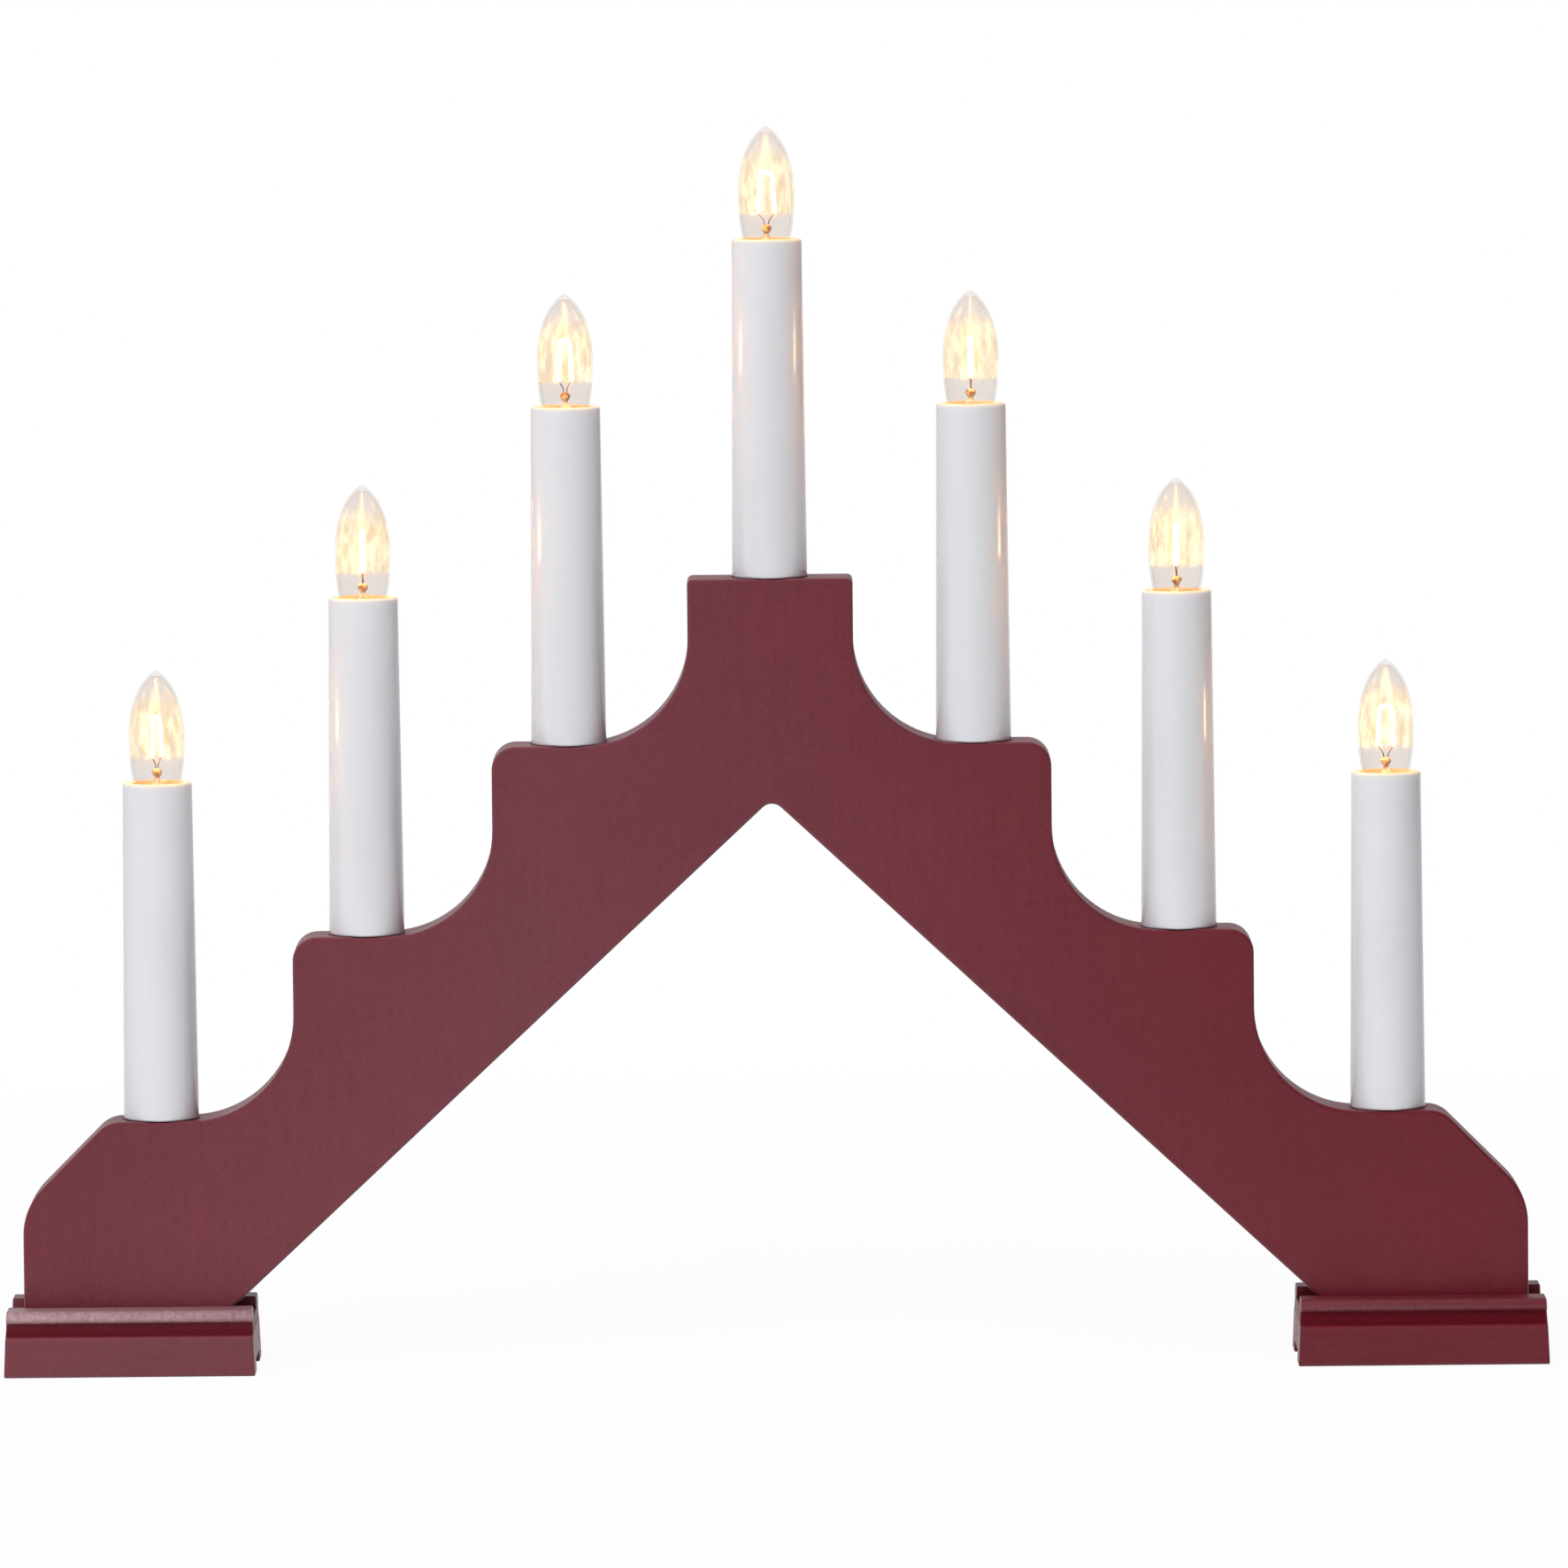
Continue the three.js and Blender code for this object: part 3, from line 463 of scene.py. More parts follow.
def paint_bead_highlight(n, color, low, high, dark, pale, most):
    """A painted highlight of pale paint on the front of a foot's bead, from a dark end x to a pale
    end x.
    """
    steps = [(0.0, 0.0), (0.12, 0.75), (0.35, 1.0), (0.75, 0.72), (1.0, 0.3)]
    bead = n.profile("Z", [(low + (high - low) * p, v) for p, v in steps])
    end = n.profile("X", sorted([(dark, 0.25 * most), (pale, most)]))
    front = n.profile("Y", [(-16, 1.0), (-13, 0.0)])
    blotches = n.coordinates(scale=(1.0, 1.0, 0.7))
    # Speckles in the painted highlight
    highlight_speckle = n.value_ramp(n.noise(blotches, 700, 4.0, 0.65), [(0.3, 0.5), (0.7, 1.0)])
    where = n.combine("MULTIPLY", bead, end)
    amount = n.combine("MULTIPLY", where, n.combine("MULTIPLY", front, highlight_speckle))
    return n.mix(amount, color, BEAD_HIGHLIGHT_PAINT)


def sleeve_plastic(name, x, seat):
    """White moulded plastic, a little translucent, with glowing warm light on its rim and lip."""
    material, n = new_material(name)
    shader = n.principled(
        IOR=1.49, Specular_IOR_Level=0.3, Subsurface_Weight=0.25, Subsurface_Scale=0.004)
    shader.inputs["Subsurface Radius"].default_value = (1.0, 0.8, 0.65)
    spread = n.coordinates()
    tone = n.ramp(n.noise(spread, 25, 2.0),
                  [(0.3, (0.776, 0.777, 0.813)), (0.7, (0.80, 0.801, 0.834))])
    rough = n.value_ramp(n.noise(spread, 90, 2.0), [(0.3, 0.07), (0.7, 0.09)])
    n.join(rough, shader.inputs["Roughness"])
    drawn = n.coordinates(scale=(1, 1, 0.05))
    n.join(n.bump(n.noise(drawn, 700, 3.0), 0.05, 0.0002), shader.inputs["Normal"])

    # Painted light: the bulb's warm light on the rim and the lip, as a warmer colour and a glow
    radius = n.distance(n.coordinates(scale=(1, 1, 0), offset=(-x * MM, 0, 0)))
    lip_top, top = seat + LIP_UNDERSIDE, seat + SLEEVE_TOP
    lip = n.number("MULTIPLY", n.share(radius, 0.0091, 0.0082),
                   n.place("Z", (lip_top - 1.1) * MM, lip_top * MM))
    rim = n.profile("Z", [(top - 1.8, 0.0), (top - 0.7, 0.15), (top, 1.0)])
    glow = n.number("MAXIMUM", lip, rim)
    warmed = n.ramp(glow, [(0.0, (1.0, 1.0, 1.0)), (1.0, (1.0, 0.82, 0.54))])
    n.join(n.combine("MULTIPLY", tone, warmed), shader.inputs["Base Color"])
    shader.inputs["Emission Color"].default_value = (1.0, 0.55, 0.2, 1)
    n.join(n.value_ramp(glow, [(0.0, 0.0), (1.0, 0.32)]), shader.inputs["Emission Strength"])
    return material


def plain_plastic(name, low, high, roughness):
    material, n = new_material(name)
    shader = n.principled(IOR=1.46)
    spread = n.coordinates()
    tone = n.ramp(n.noise(spread, 120, 2.0), [(0.3, low), (0.7, high)])
    n.join(tone, shader.inputs["Base Color"])
    span = [(0.3, roughness - 0.06), (0.7, roughness + 0.06)]
    n.join(n.value_ramp(n.noise(spread, 300, 2.0), span), shader.inputs["Roughness"])
    n.join(n.bump(n.noise(spread, 1800, 2.0), 0.08, 0.0001), shader.inputs["Normal"])
    return material


def metal(name, low, high, roughness):
    material, n = new_material(name)
    shader = n.principled(Metallic=1.0)
    spread = n.coordinates()
    tone = n.ramp(n.noise(spread, 250, 3.0), [(0.35, low), (0.65, high)])
    n.join(tone, shader.inputs["Base Color"])
    span = [(0.3, roughness - 0.07), (0.7, roughness + 0.1)]
    n.join(n.value_ramp(n.noise(spread, 600, 3.0), span), shader.inputs["Roughness"])
    n.join(n.bump(n.noise(spread, 2500, 2.0), 0.06, 0.0001), shader.inputs["Normal"])
    return material


def stem_glass(name, seat):
    """Warm-lit glass: a cream stem, and on it a bead with brown flecks."""
    material, n = new_material(name)
    shader = n.principled(Roughness=0.15, IOR=1.5)
    spread = n.coordinates()
    flecks = n.ramp(n.noise(spread, 700, 2.0),
                    [(0.42, (0.36, 0.13, 0.04)), (0.56, (0.95, 0.66, 0.36))])
    n.join(flecks, shader.inputs["Base Color"])
    # Painted glow: the stem glows with the filament's light, and its bead glows less
    shader.inputs["Emission Color"].default_value = (1.0, 0.72, 0.42, 1)
    bead = seat + BULB_BEAD
    lit = [(seat + 95, 0.6), (bead - 2.4, 0.7), (bead - 1.2, 0.12), (bead + 2, 0.1)]
    n.join(n.profile("Z", lit), shader.inputs["Emission Strength"])
    n.join(n.bump(n.noise(spread, 1500, 2.0), 0.2, 0.0002), shader.inputs["Normal"])
    return material


# Another piece that mirrors a bulb's glow is farther off than this, in metres
OTHER_PIECE = 0.03
# How much stronger the glow is there, beside its strength as it is seen
MIRRORED_GLOW = 20.0
# The hairpin's strength, and the part of it that is lost where its own glass mirrors it
HAIRPIN_STRENGTH, UNMIRRORED = 105.0, 0.5


def hot_filament():
    """The strand of the hairpin, white hot and a little uneven. Its own glass mirrors it less."""
    material, n = new_material("hot_filament")
    emission = n.add("ShaderNodeEmission")
    heat = n.noise(n.coordinates(), 1200, 2.0)
    n.join(n.ramp(heat, [(0.35, (1.0, 0.4, 0.13)), (0.65, (1.0, 0.47, 0.17))]),
           emission.inputs["Color"])
    path = n.add("ShaderNodeLightPath").outputs
    near = n.number("LESS_THAN", path["Ray Length"], OTHER_PIECE)
    lost = n.number("MULTIPLY", n.number("MULTIPLY", path["Is Glossy Ray"], near), UNMIRRORED)
    strength = n.number("MULTIPLY", n.number("SUBTRACT", 1.0, lost), HAIRPIN_STRENGTH)
    n.join(strength, emission.inputs["Strength"])
    n.join(emission.outputs["Emission"], n.out.inputs["Surface"])
    return material


# The lit zone of a bulb's glass over its top 30 mm, from 0 at the lower end to 1 at the tip
LIT_LENGTH = 0.030
LIT_TOP = [(0.0, 1.0), (0.58, 1.0), (0.68, 0.6), (0.76, 0.22), (0.85, 0.04), (1.0, 0.0)]
LIT_FOOT = [(0.0, 0.0), (0.1, 0.06), (0.126, 0.25), (0.137, 1.0), (0.165, 0.85), (1.0, 0.85)]
# Colours of what shows through the glass, from its middle to its edge and from unlit to lit
CLEAR_GLASS = [
    (0.0, (0.96, 0.947, 0.945)), (0.6, (0.95, 0.937, 0.934)),
    (0.92, (0.86, 0.85, 0.84)), (1.0, (0.8, 0.79, 0.78)),
]
AMBER_GLASS = [(0.0, (0.992, 0.984, 0.972)), (0.3, (1.0, 0.975, 0.93)), (1.0, (1.0, 0.953, 0.845))]


def lit_zone(n, seat, seed):
    """Where the light of the filament hangs in the glass: patchy, with a ragged upper edge."""
    tip = (seat + BULB_TIP) * MM
    height = n.place("Z", tip - LIT_LENGTH, tip)
    streaks = n.coordinates(scale=(1, 1, 0.22), offset=(seed, seed, seed))
    patchy = n.noise(streaks, 330, 3.0, 0.6)
    ragged = n.number("SUBTRACT", n.number("MULTIPLY", patchy, 0.5), 0.25)
    top = n.value_ramp(n.number("ADD", height, ragged), LIT_TOP)
    zone = n.number("MULTIPLY", top, n.value_ramp(height, LIT_FOOT))
    return n.number("MULTIPLY", zone, n.value_ramp(patchy, [(0.34, 0.4), (0.62, 1.0)]))


def glow_shader(n, lit, seed):
    """The light that hangs in the glass, in amber and white wisps."""
    wisps = n.noise(n.coordinates(scale=(1, 1, 0.35), offset=(0, seed, seed)), 420, 3.0, 0.6)
    # Painted glow: the glass glows with the filament's light, and brighter where another piece
    # mirrors it
    emission = n.add("ShaderNodeEmission")
    n.join(n.ramp(wisps, [(0.42, (1.0, 0.68, 0.32)), (0.62, (1.0, 0.88, 0.64))]),
           emission.inputs["Color"])
    flame = n.value_ramp(wisps, [(0.4, 0.025), (0.5, 0.1), (0.62, 0.34)])
    path = n.add("ShaderNodeLightPath").outputs
    afar = n.number("GREATER_THAN", path["Ray Length"], OTHER_PIECE)
    mirrored = n.number("MULTIPLY", path["Is Glossy Ray"], afar)
    gain = n.number("ADD", n.number("MULTIPLY", mirrored, MIRRORED_GLOW), 1.0)
    strength = n.number("MULTIPLY", n.number("MULTIPLY", lit, flame), gain)
    n.join(strength, emission.inputs["Strength"])
    return emission.outputs["Emission"]


def bulb_glass(name, seat, seed):
    """Thin clear glass, greyer towards its edges, with a cream glow from the filament in it."""
    material, n = new_material(name)
    lit = lit_zone(n, seat, seed)
    weight = n.add("ShaderNodeLayerWeight")
    weight.inputs["Blend"].default_value = 0.5
    facing = weight.outputs["Facing"]
    through = n.add("ShaderNodeBsdfTransparent")
    tint = n.mix(1.0, n.ramp(facing, CLEAR_GLASS), n.ramp(lit, AMBER_GLASS), blend="MULTIPLY")
    n.join(tint, through.inputs["Color"])
    mirror = n.add("ShaderNodeBsdfGlossy")
    mirror.inputs["Roughness"].default_value = 0.2
    mirror.inputs["Color"].default_value = (0.95, 0.95, 0.95, 1)
    ribbed = n.coordinates(scale=(1, 1, 0.04), offset=(seed, 0, 0))
    n.join(n.bump(n.noise(ribbed, 900, 2.0), 0.08, 0.0002), mirror.inputs["Normal"])
    share = n.value_ramp(facing, [(0.0, 0.012), (0.5, 0.03), (0.8, 0.12), (1.0, 0.42)])
    both = n.add("ShaderNodeAddShader")
    n.join(n.mix_shader(share, through.outputs["BSDF"], mirror.outputs["BSDF"]), both.inputs[0])
    n.join(glow_shader(n, lit, seed), both.inputs[1])
    n.join(both.outputs["Shader"], n.out.inputs["Surface"])
    return material


# Board and feet

def arch_outline():
    """Outline of the board: crown, coves and shoulders, haunches, legs and the inner V."""
    right = [
        (CROWN_EDGE, CROWN_SEAT, CROWN_CORNER), (CROWN_EDGE, INNER_SEAT, COVE),
        (INNER_EDGE, INNER_SEAT, SHOULDER), (INNER_EDGE, MIDDLE_SEAT, COVE),
        (MIDDLE_EDGE, MIDDLE_SEAT, SHOULDER), (MIDDLE_EDGE, OUTER_SEAT, COVE),
        (LEG_OUT - HAUNCH, OUTER_SEAT, HAUNCH_TOP), (LEG_OUT, OUTER_SEAT - HAUNCH, HAUNCH_SIDE),
        (LEG_OUT, LEG_LOW, 0), (LEG_IN, LEG_LOW, 0),
    ]
    left = [(-x, z, r) for x, z, r in reversed(right)]
    return rounded_outline([*right, (0, APEX_HEIGHT, APEX), *left])


def groove_height(x):
    return GROOVE_CROWN - GROOVE_SLOPE * abs(x)


def cut(obj, cutter):
    """Takes a cutter's form out of an object, and removes the cutter."""
    modifier = obj.modifiers.new("cut", "BOOLEAN")
    modifier.operation = "DIFFERENCE"
    modifier.solver = "EXACT"
    modifier.object = cutter
    evaluated = obj.evaluated_get(bpy.context.evaluated_depsgraph_get())
    mesh = bpy.data.meshes.new_from_object(evaluated)
    obj.modifiers.clear()
    obj.data = mesh
    bpy.data.objects.remove(cutter)


def groove_cutter():
    """The wiring groove, open to the back.

    A small flat at its crown keeps its edge clear of the facets of candle 4's bore.
    """
    rise = GROOVE_HALF * math.hypot(1, GROOVE_SLOPE)
    end, flat, past_back = PLACES[7] + GROOVE_TAIL, 0.13, 30
    middle = [(x, groove_height(x)) for x in (-end, -flat, flat, end)]
    section = [(x, z - rise) for x, z in middle] + [(x, z + rise) for x, z in reversed(middle)]
    bm = bmesh.new()
    skin(bm, [[Vector((x, y, z)) for x, z in section] for y in (GROOVE_FRONT, past_back)])
    return new_object("groove_cutter", bm)


def seat_cutter(number):
    """The bores of a candle: for its sleeve, the holder's shank and the leads."""
    x, seat = PLACES[number], SEATS[number]
    low, above = groove_height(x) - GROOVE_HALF, seat + 30
    socket, floor = seat - SOCKET_DEPTH, seat - SEAT_DEPTH
    profile = [
        (0, low), (WIRE_BORE, low), (WIRE_BORE, socket), (SHANK_BORE, socket), (SHANK_BORE, floor),
        (SLEEVE_BORE, floor), (SLEEVE_BORE, above), (0, above),
    ]
    return lathe("seat_cutter", profile, 72, (x, 0, 0))


def make_board():
    outline = arch_outline()
    bm = bmesh.new()
    rings = []
    steps = 4
    for k in range(steps + 1):
        a = math.radians(90 * k / steps)
        ring = inset(outline, EASE * (1 - math.sin(a)))
        y = -BOARD_HALF + EASE * (1 - math.cos(a))
        rings.append([Vector((p.x, y, p.y)) for p in ring])
    for ring in reversed(rings[:]):
        rings.append([Vector((p.x, -p.y, p.z)) for p in ring])
    skin(bm, rings)
    board = new_object("board_painted", bm)
    cut(board, groove_cutter())
    for number in CANDLES:
        cut(board, seat_cutter(number))
    for polygon in board.data.polygons:
        polygon.use_smooth = True
    board.data.set_sharp_from_angle(angle=math.radians(30))
    weight_normals(board)
    return board


def foot_section():
    """Half section of a foot: (distance from the middle, height), from the floor to the dado."""
    half, edge = FOOT_HALF_DEPTH, 0.3
    return [
        (RELIEF_HALF, RELIEF_TOP), (RELIEF_HALF, 0.0),
        *arc(half - FLOOR_EDGE, FLOOR_EDGE, FLOOR_EDGE, -90, 0, 5),
        (half, FASCIA - edge), (half - edge, FASCIA),
        *arc(half, FASCIA + HOLLOW, HOLLOW, -96, -180, 10),
        *arc(BEAD_OUT, FOOT_HEIGHT - BEAD, BEAD, -90, 90, 16),
        (DADO_HALF + edge, FOOT_HEIGHT), (DADO_HALF, FOOT_HEIGHT - edge), (DADO_HALF, DADO_FLOOR),
    ]


def make_foot(name, centre):
    back = foot_section()
    outline = [Vector(p) for p in back + [(-y, z) for y, z in reversed(back)]]
    bm = bmesh.new()
    rings = []
    ease, partly = 0.4, 0.12
    stages = [(FOOT_HALF, ease), (FOOT_HALF - partly, partly), (FOOT_HALF - ease, 0.0)]
    for end in (-1, 1):
        for reach, drawn in stages if end == -1 else reversed(stages):
            ring = []
            for p in inset(outline, drawn):
                drafted = 1 - 2 * END_DRAFT * p.y / (FOOT_HEIGHT * 2 * FOOT_HALF)
                ring.append(Vector((centre + end * reach * drafted, p.x, p.y)))
            rings.append(ring)
    skin(bm, rings)
    foot = new_object(name, bm)
    weight_normals(foot)
    return foot


# Candles

def candle_place(number):
    return Vector((PLACES[number], 0, SEATS[number]))


def make_sleeve(number):
    """A sleeve, tapered to the top, with a rounded rim and a lip turned in towards the bulb."""
    top = SLEEVE_TOP
    profile = [
        *arc(SLEEVE_FOOT_RADIUS - FOOT_ROUNDING, FOOT_ROUNDING, FOOT_ROUNDING, -90, 0, 5),
        *arc(SLEEVE_TOP_RADIUS - RIM_ROUNDING, top - RIM_ROUNDING, RIM_ROUNDING, 0, 90, 8),
        (LIP_RADIUS + 0.22, top), (LIP_RADIUS + 0.05, top - 0.07), (LIP_RADIUS, top - 0.25),
        (LIP_RADIUS, LIP_UNDERSIDE), (HOLLOW_TOP_RADIUS, LIP_UNDERSIDE),
        (HOLLOW_FOOT_RADIUS, 0.0),
    ]
    return lathe(f"sleeve_white_{number}", profile, 96, candle_place(number), loop=True)


def bezier(points, steps):
    """Points of a cubic curve with four control points."""
    a, b, c, d = [Vector(p) for p in points]
    result = []
    for k in range(steps + 1):
        t = k / steps
        s = 1 - t
        result.append(a * s ** 3 + b * (3 * s * s * t) + c * (3 * s * t * t) + d * t ** 3)
    return result


def glass_outside():
    """Profile of a bulb's glass from its neck to its tip."""
    radius, neck, waist, tip = GLASS_RADIUS, GLASS_NECK, GLASS_WAIST, BULB_TIP
    fall = waist - neck
    belly = bezier([
        (NECK_RADIUS, neck), (7.41, neck + 0.1 * fall), (radius, neck + 0.62 * fall),
        (radius, waist),
    ], 22)
    taper = bezier([(radius, waist), (radius, tip - 11), (5.5, tip - 3.8), (0.92, tip - 0.36)], 24)
    return belly + taper[1:]


def make_glass(number):
    """A bulb's glass, with faint ribs on its inside that fade out below the taper."""
    outside = glass_outside()
    inside = []
    for k, point in enumerate(outside):
        along = (outside[min(k + 1, len(outside) - 1)] - outside[max(k - 1, 0)]).normalized()
        inward = Vector((-along.y, along.x)) * GLASS_WALL
        inside.append((max(0.15, point.x + inward.x), point.y + inward.y))
    inside = [p for p in inside if p[1] < BULB_TIP - 1.6]
    ribbed = set(inside)
    rib_count, rib_height, ribs_end, fade_length = 22, 0.045, BULB_TIP - 8, 8

    def ribs(angle, radius, height):
        if radius < 4 or height >= ribs_end or (radius, height) not in ribbed:
            return 0.0
        fade = min(1.0, (ribs_end - height) / fade_length)
        return rib_height * fade * math.cos(rib_count * angle)

    profile = [
        (0, BULB_TIP - 1.7), *reversed(inside),
        (MOUTH_RADIUS, GLASS_MOUTH), (NECK_RADIUS, GLASS_MOUTH),
        *((p.x, p.y) for p in outside), (0.5, BULB_TIP - 0.08), (0, BULB_TIP),
    ]
    name = f"bulb_envelope_{number}"
    return lathe(name, profile, 132, candle_place(number), ribs, smooth=60)


def make_mount(number):
    """Stem with its bead, two support wires and the hairpin filament, as three pieces."""
    at = candle_place(number)
    spin = Matrix.Rotation(math.radians(TURNS[number]), 4, "Z")
    bead, top, foot = BULB_BEAD, HAIRPIN_TOP - STRAND_RADIUS, HAIRPIN_FOOT
    top_half, foot_half = HAIRPIN_TOP_HALF, HAIRPIN_FOOT_HALF

    profile = [
        (0, 87.0), (2.55, 87.0), (2.45, 92), (2.2, 97), (1.75, 100), (1.2, 101.3),
        (0.85, bead - 1.6), *arc(0, bead - 0.1, 1.45, -56, 90, 10),
    ]

    def twist(angle, radius, height):
        plain = radius <= 0.1 or height <= 91
        return 0.0 if plain else 0.16 * radius * math.cos(2 * angle + height * 1.5)

    stem = lathe(f"bulb_stem_{number}", profile, 32, at, twist, smooth=60)

    wires = bmesh.new()
    for side in (-1, 1):
        sweep(wires, round_route([
            Vector((side * 0.35, 0, bead - 0.5)), Vector((side * 0.8, 0, bead + 2.5)),
            Vector((side * 2.35, 0, foot - 0.4)), Vector((side * foot_half, 0, foot + 0.7)),
        ], 1.2), SUPPORT_WIRE_RADIUS, 8)

    strand = bmesh.new()
    sweep(strand, round_route([
        Vector((-foot_half, 0, foot)), Vector((-top_half, 0, top)),
        Vector((top_half, 0, top)), Vector((foot_half, 0, foot)),
    ], 1.5, 0.12), STRAND_RADIUS, 12, round_ends=True)

    for bm in (wires, strand):
        bmesh.ops.transform(bm, matrix=Matrix.Translation(at) @ spin, verts=bm.verts)
    wires = new_object(f"bulb_support_wires_{number}", wires, 60)
    strand = new_object(f"bulb_hairpin_{number}", strand, 60)
    return stem, wires, strand


# Leads

def groove_point(x, layer):
    return Vector((x, layer, groove_height(x)))


def contact_end(number):
    """From the tongue under a bulb down to the groove, in front of the board's middle."""
    x, seat = PLACES[number], SEATS[number]
    bore = x + LEAD_SIDE
    return [
        Vector((x, 0, seat + CONTACT_LEAD_TOP)), Vector((x, 0, seat + WEB_UNDERSIDE)),
        Vector((bore, -LEAD_LAYER, seat + COLLAR_UNDERSIDE)), groove_point(bore, -LEAD_LAYER),
    ]


def shell_end(number, side=-LEAD_SIDE):
    """From a socket shell's tab down to the groove, behind the board's middle."""
    x, seat = PLACES[number], SEATS[number]
    tab, shank, bore = x - SHELL_TAB, x - LEAD_SIDE, x + side
    return [
        Vector((tab, 0, seat + SHELL_LEAD_TOP)), Vector((tab, 0, seat + WEB_UNDERSIDE)),
        Vector((shank, LEAD_LAYER, seat + COLLAR_UNDERSIDE)),
        Vector((shank, LEAD_LAYER, seat - SOCKET_DEPTH)),
        Vector((bore, LEAD_LAYER, seat + BORE_ENTRY)), groove_point(bore, LEAD_LAYER),
    ]


def make_lead(name, corners):
    bm = bmesh.new()
    sweep(bm, round_route(corners, LEAD_BEND), LEAD_RADIUS, 16)
    return new_object(name, bm, 60)


def make_tongue(number):
    """Brass tongue that the bulb's contact rests on, soldered to its lead."""
    low, high, radius = TONGUE_LOW, TONGUE_HIGH, TONGUE_RADIUS
    profile = [
        (0, low), (radius - 0.1, low), (radius, low + 0.08), (radius, high - 0.08),
        (radius - 0.1, high), (0.4, high), (0, high - 0.02),
    ]
    return lathe(f"brass_tongue_{number}", profile, 32, candle_place(number))


# Assembly

# Painted highlights on the feet's beads, strong on the left foot and faint on the right
LEFT_BEAD_HIGHLIGHT, RIGHT_BEAD_HIGHLIGHT = (16.0, 20.6, -60, -230, 0.95), (16.0, 20.6, 240, 100, 0.16)
UPRIGHT_GRAIN, LEVEL_GRAIN = (1.0, 1.0, 0.1), (0.1, 1.0, 1.0)
board_paint = painted_wood("paint_board", 0.0, UPRIGHT_GRAIN, BOARD_PAINTED_SHEEN)
left_paint = painted_wood("paint_foot_left", 1.3, LEVEL_GRAIN, FOOT_PAINTED_SHEEN, LEFT_BEAD_HIGHLIGHT)
right_paint = painted_wood("paint_foot_right", 2.6, LEVEL_GRAIN, FOOT_PAINTED_SHEEN, RIGHT_BEAD_HIGHLIGHT)
holder_white = plain_plastic("holder_plastic", (0.7, 0.68, 0.6), (0.76, 0.74, 0.67), 0.45)
insulation = plain_plastic("lead_insulation", (0.78, 0.77, 0.72), (0.84, 0.83, 0.79), 0.4)
brass = metal("rolled_brass", (0.72, 0.5, 0.2), (0.8, 0.6, 0.28), 0.25)
solder = metal("solder", (0.55, 0.55, 0.57), (0.66, 0.66, 0.68), 0.3)
wire_metal = metal("support_wire", (0.3, 0.2, 0.16), (0.42, 0.3, 0.24), 0.35)
glow = hot_filament()


def dress(obj, material, body, node):
    """Gives a piece its material, slot and body, and lets it stand for a node."""
    obj.data.materials.clear()
    obj.data.materials.append(material)
    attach(obj, body)
    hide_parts(node)


def repaint(node, material):
    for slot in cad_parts[node].material_slots:
        slot.material = material


dress(make_board(), board_paint, ROOT, "arch_board")
dress(make_foot("foot_painted_left", -FOOT_PLACE), left_paint, ROOT, "foot_left")
dress(make_foot("foot_painted_right", FOOT_PLACE), right_paint, ROOT, "foot_right")

for number in CANDLES:
    x, seat, bulb = PLACES[number], SEATS[number], f"bulb_{number}"
    white = sleeve_plastic(f"sleeve_plastic_{number}", x, seat)
    dress(make_sleeve(number), white, ROOT, f"candle_sleeve_{number}")
    repaint(f"lamp_holder_{number}", holder_white)
    repaint(f"socket_shell_{number}", brass)
    repaint(f"bulb_cap_{number}", brass)
    repaint(f"bulb_pip_{number}", solder)
    clear = bulb_glass(f"bulb_glass_{number}", seat, number * 0.37)
    dress(make_glass(number), clear, bulb, f"bulb_glass_{number}")
    finishes = (stem_glass(f"stem_glass_{number}", seat), wire_metal, glow)
    for piece, finish in zip(make_mount(number), finishes):
        dress(piece, finish, bulb, f"bulb_filament_{number}")

tail, turn = PLACES[1] - GROOVE_TAIL + LEAD_END_GAP, PLACES[7] - GROOVE_TAIL
leads = {"feed_lead": [*contact_end(1), groove_point(tail, -LEAD_LAYER)]}
for number in range(1, 7):
    route = [*shell_end(number), *reversed(contact_end(number + 1))]
    leads[f"lead_{number}_to_{number + 1}"] = route
leads["return_lead"] = [
    *shell_end(7, LEAD_SIDE), *(groove_point(x, RETURN_LAYER) for x in (turn, 0, tail)),
]
for name, corners in leads.items():
    lead = make_lead(f"{name}_insulated", corners)
    dress(lead, insulation, ROOT, name)
for number, name in zip(CANDLES, leads):
    dress(make_tongue(number), brass, ROOT, name)


# Camera

def place_camera():
    """The photograph's viewpoint, fitted to the corners of the board, the feet and the candles."""
    focal_pixels, photo_width = 15495.5, 1772
    x, y, z = 0.0037, -4.0866, 0.5054
    pitch, roll = math.radians(4.639), math.radians(0.531)
    data = bpy.data.cameras.new("camera")
    data.sensor_width = 36
    data.lens = focal_pixels * data.sensor_width / photo_width
    data.clip_start, data.clip_end = 0.1, 50
    camera = bpy.data.objects.new("camera", data)
    bpy.context.scene.collection.objects.link(camera)
    right = Vector((1, 0, 0))
    up = Vector((0, math.sin(pitch), math.cos(pitch)))
    back = Vector((0, -math.cos(pitch), math.sin(pitch)))
    across = right * math.cos(roll) - up * math.sin(roll)
    above = right * math.sin(roll) + up * math.cos(roll)
    camera.matrix_world = Matrix((
        (across.x, above.x, back.x, x),
        (across.y, above.y, back.y, y),
        (across.z, above.z, back.z, z),
        (0, 0, 0, 1),
    ))
    bpy.context.scene.camera = camera


# Light, floor and background

# The room's plain light, in front of the object and behind it
ROOM_DIM, ROOM_BRIGHT = 0.1, 1.0
# Its light from the far right, as a part of that from the far left
ROOM_RIGHT = 0.38
# The part of it that lights the object. A mirroring surface shows all of it.
DIFFUSE_SHARE = 0.52
# Just under the feet, in millimetres
FLOOR_HEIGHT = -0.2


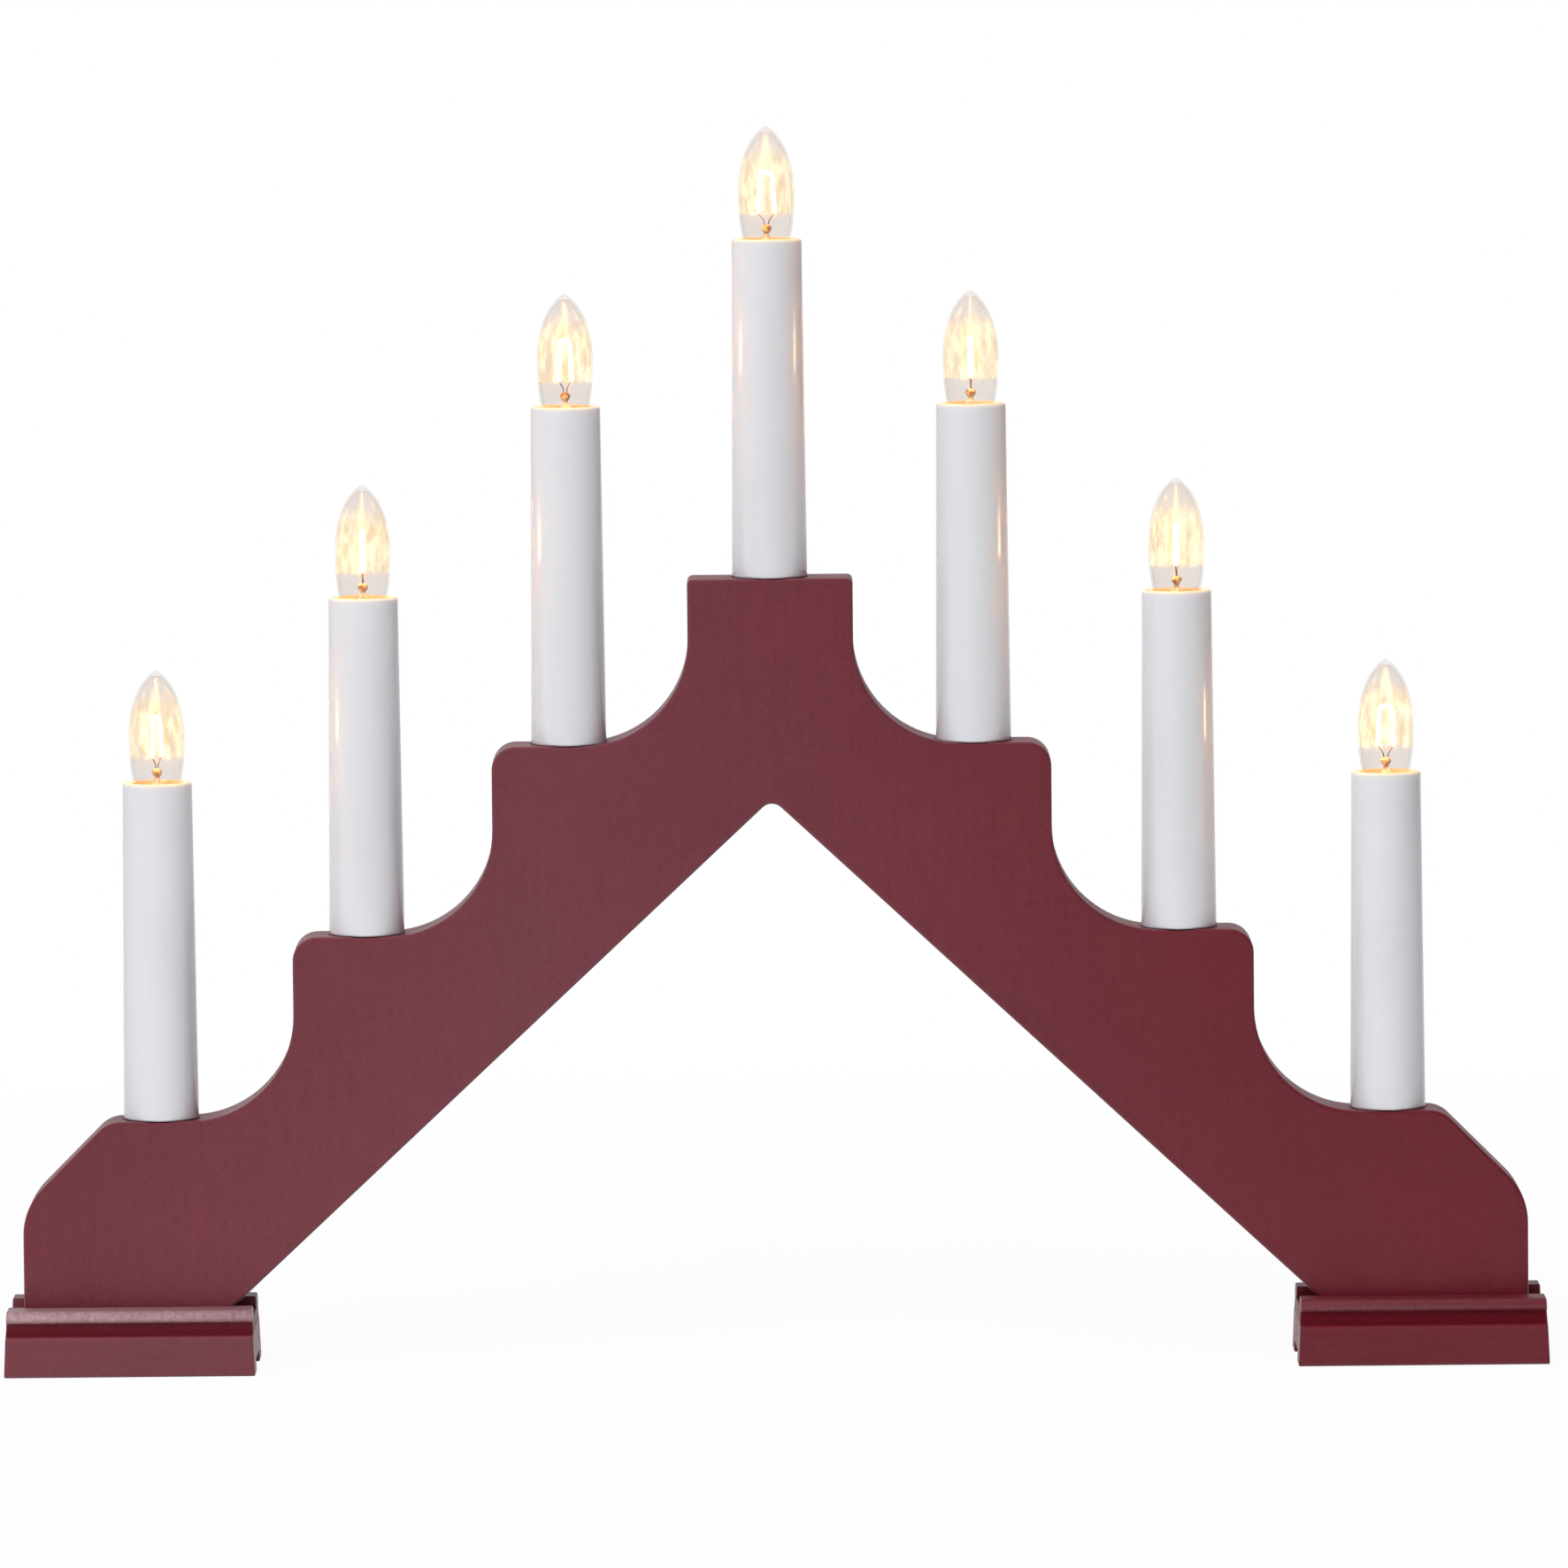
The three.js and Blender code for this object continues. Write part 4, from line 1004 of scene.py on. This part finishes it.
def area_light(name, at, aim, size, power):
    """A soft lamp that leaves no streak in glossy surfaces."""
    data = bpy.data.lights.new(name, "AREA")
    data.shape = "RECTANGLE"
    data.size, data.size_y = size
    data.energy = power
    light = bpy.data.objects.new(name, data)
    light.location = at
    light.rotation_euler = (Vector(aim) - Vector(at)).to_track_quat("-Z", "Y").to_euler()
    light.visible_glossy = False
    bpy.context.scene.collection.objects.link(light)


def white_where_seen(n, shader, share):
    """Mixes a share of plain white into a shader, as seen plainly, in a mirror or through glass."""
    path = n.add("ShaderNodeLightPath").outputs
    seen = n.number("MAXIMUM", path["Is Camera Ray"], path["Is Glossy Ray"])
    either = n.number("MAXIMUM", seen, path["Is Transmission Ray"])
    white = n.add("ShaderNodeEmission")
    white.inputs["Color"].default_value = (1, 1, 1, 1)
    white.inputs["Strength"].default_value = 1.0
    part = n.number("MULTIPLY", either, share)
    n.join(n.mix_shader(part, shader, white.outputs["Emission"]), n.out.inputs["Surface"])


def make_floor():
    """White floor. It is a little less than plain white near the object, where its shadow lies."""
    bm = bmesh.new()
    rows = [[Vector((x, y, FLOOR_HEIGHT)) for x in (-3000, 3000)] for y in (-700, 9000)]
    skin(bm, rows, closed=False, capped=False)
    floor = new_object("floor", bm)
    material, n = new_material("floor_white")
    surface = n.add("ShaderNodeBsdfDiffuse")
    tone = n.value_ramp(n.noise(n.coordinates(), 3, 2.0), [(0.3, 0.86), (0.7, 0.88)])
    n.join(tone, surface.inputs["Color"])
    share = n.share(n.distance(n.coordinates()), 0.3, 0.9, 0.95, 1.0)
    white_where_seen(n, surface.outputs["BSDF"], share)
    floor.data.materials.append(material)


def make_world():
    """White where it is seen. Its light is plain, brighter behind the object, and dim in front."""
    world = bpy.data.worlds.new("studio")
    bpy.context.scene.world = world
    n = Nodes(world, "ShaderNodeOutputWorld")
    split = n.add("ShaderNodeSeparateXYZ")
    n.join(n.add("ShaderNodeTexCoord").outputs["Generated"], split.inputs["Vector"])
    path = n.add("ShaderNodeLightPath").outputs
    room = n.share(split.outputs["Y"], -0.6, 0.35, ROOM_DIM, ROOM_BRIGHT, "SMOOTHSTEP")
    across = n.share(split.outputs["X"], -1.0, 1.0, 1.0, ROOM_RIGHT)
    glossy = n.share(path["Is Glossy Ray"], 0.0, 1.0, DIFFUSE_SHARE, 1.0)
    level = n.number("MULTIPLY", n.number("MULTIPLY", room, across), glossy)
    dim, white = n.add("ShaderNodeBackground"), n.add("ShaderNodeBackground")
    for shader in (dim, white):
        shader.inputs["Color"].default_value = (1, 1, 1, 1)
    n.join(level, dim.inputs["Strength"])
    seen = n.number("MAXIMUM", path["Is Camera Ray"], path["Is Transmission Ray"])
    shown = n.mix_shader(seen, dim.outputs["Background"], white.outputs["Background"])
    n.join(shown, n.out.inputs["Surface"])


place_camera()
make_world()
make_floor()
area_light("key_left", (-0.72, -2.8, 3.0), (0, 0, 0.15), (1.8, 1.4), 105)
area_light("low_left", (-2.0, -2.8, 0.7), (0, 0, 0.12), (2.6, 1.6), 24)
area_light("top", (0.2, -1.4, 3.8), (0, 0, 0.1), (2.4, 1.6), 27)

bpy.context.scene.view_settings.view_transform = "Standard"
bpy.context.view_layer.update()
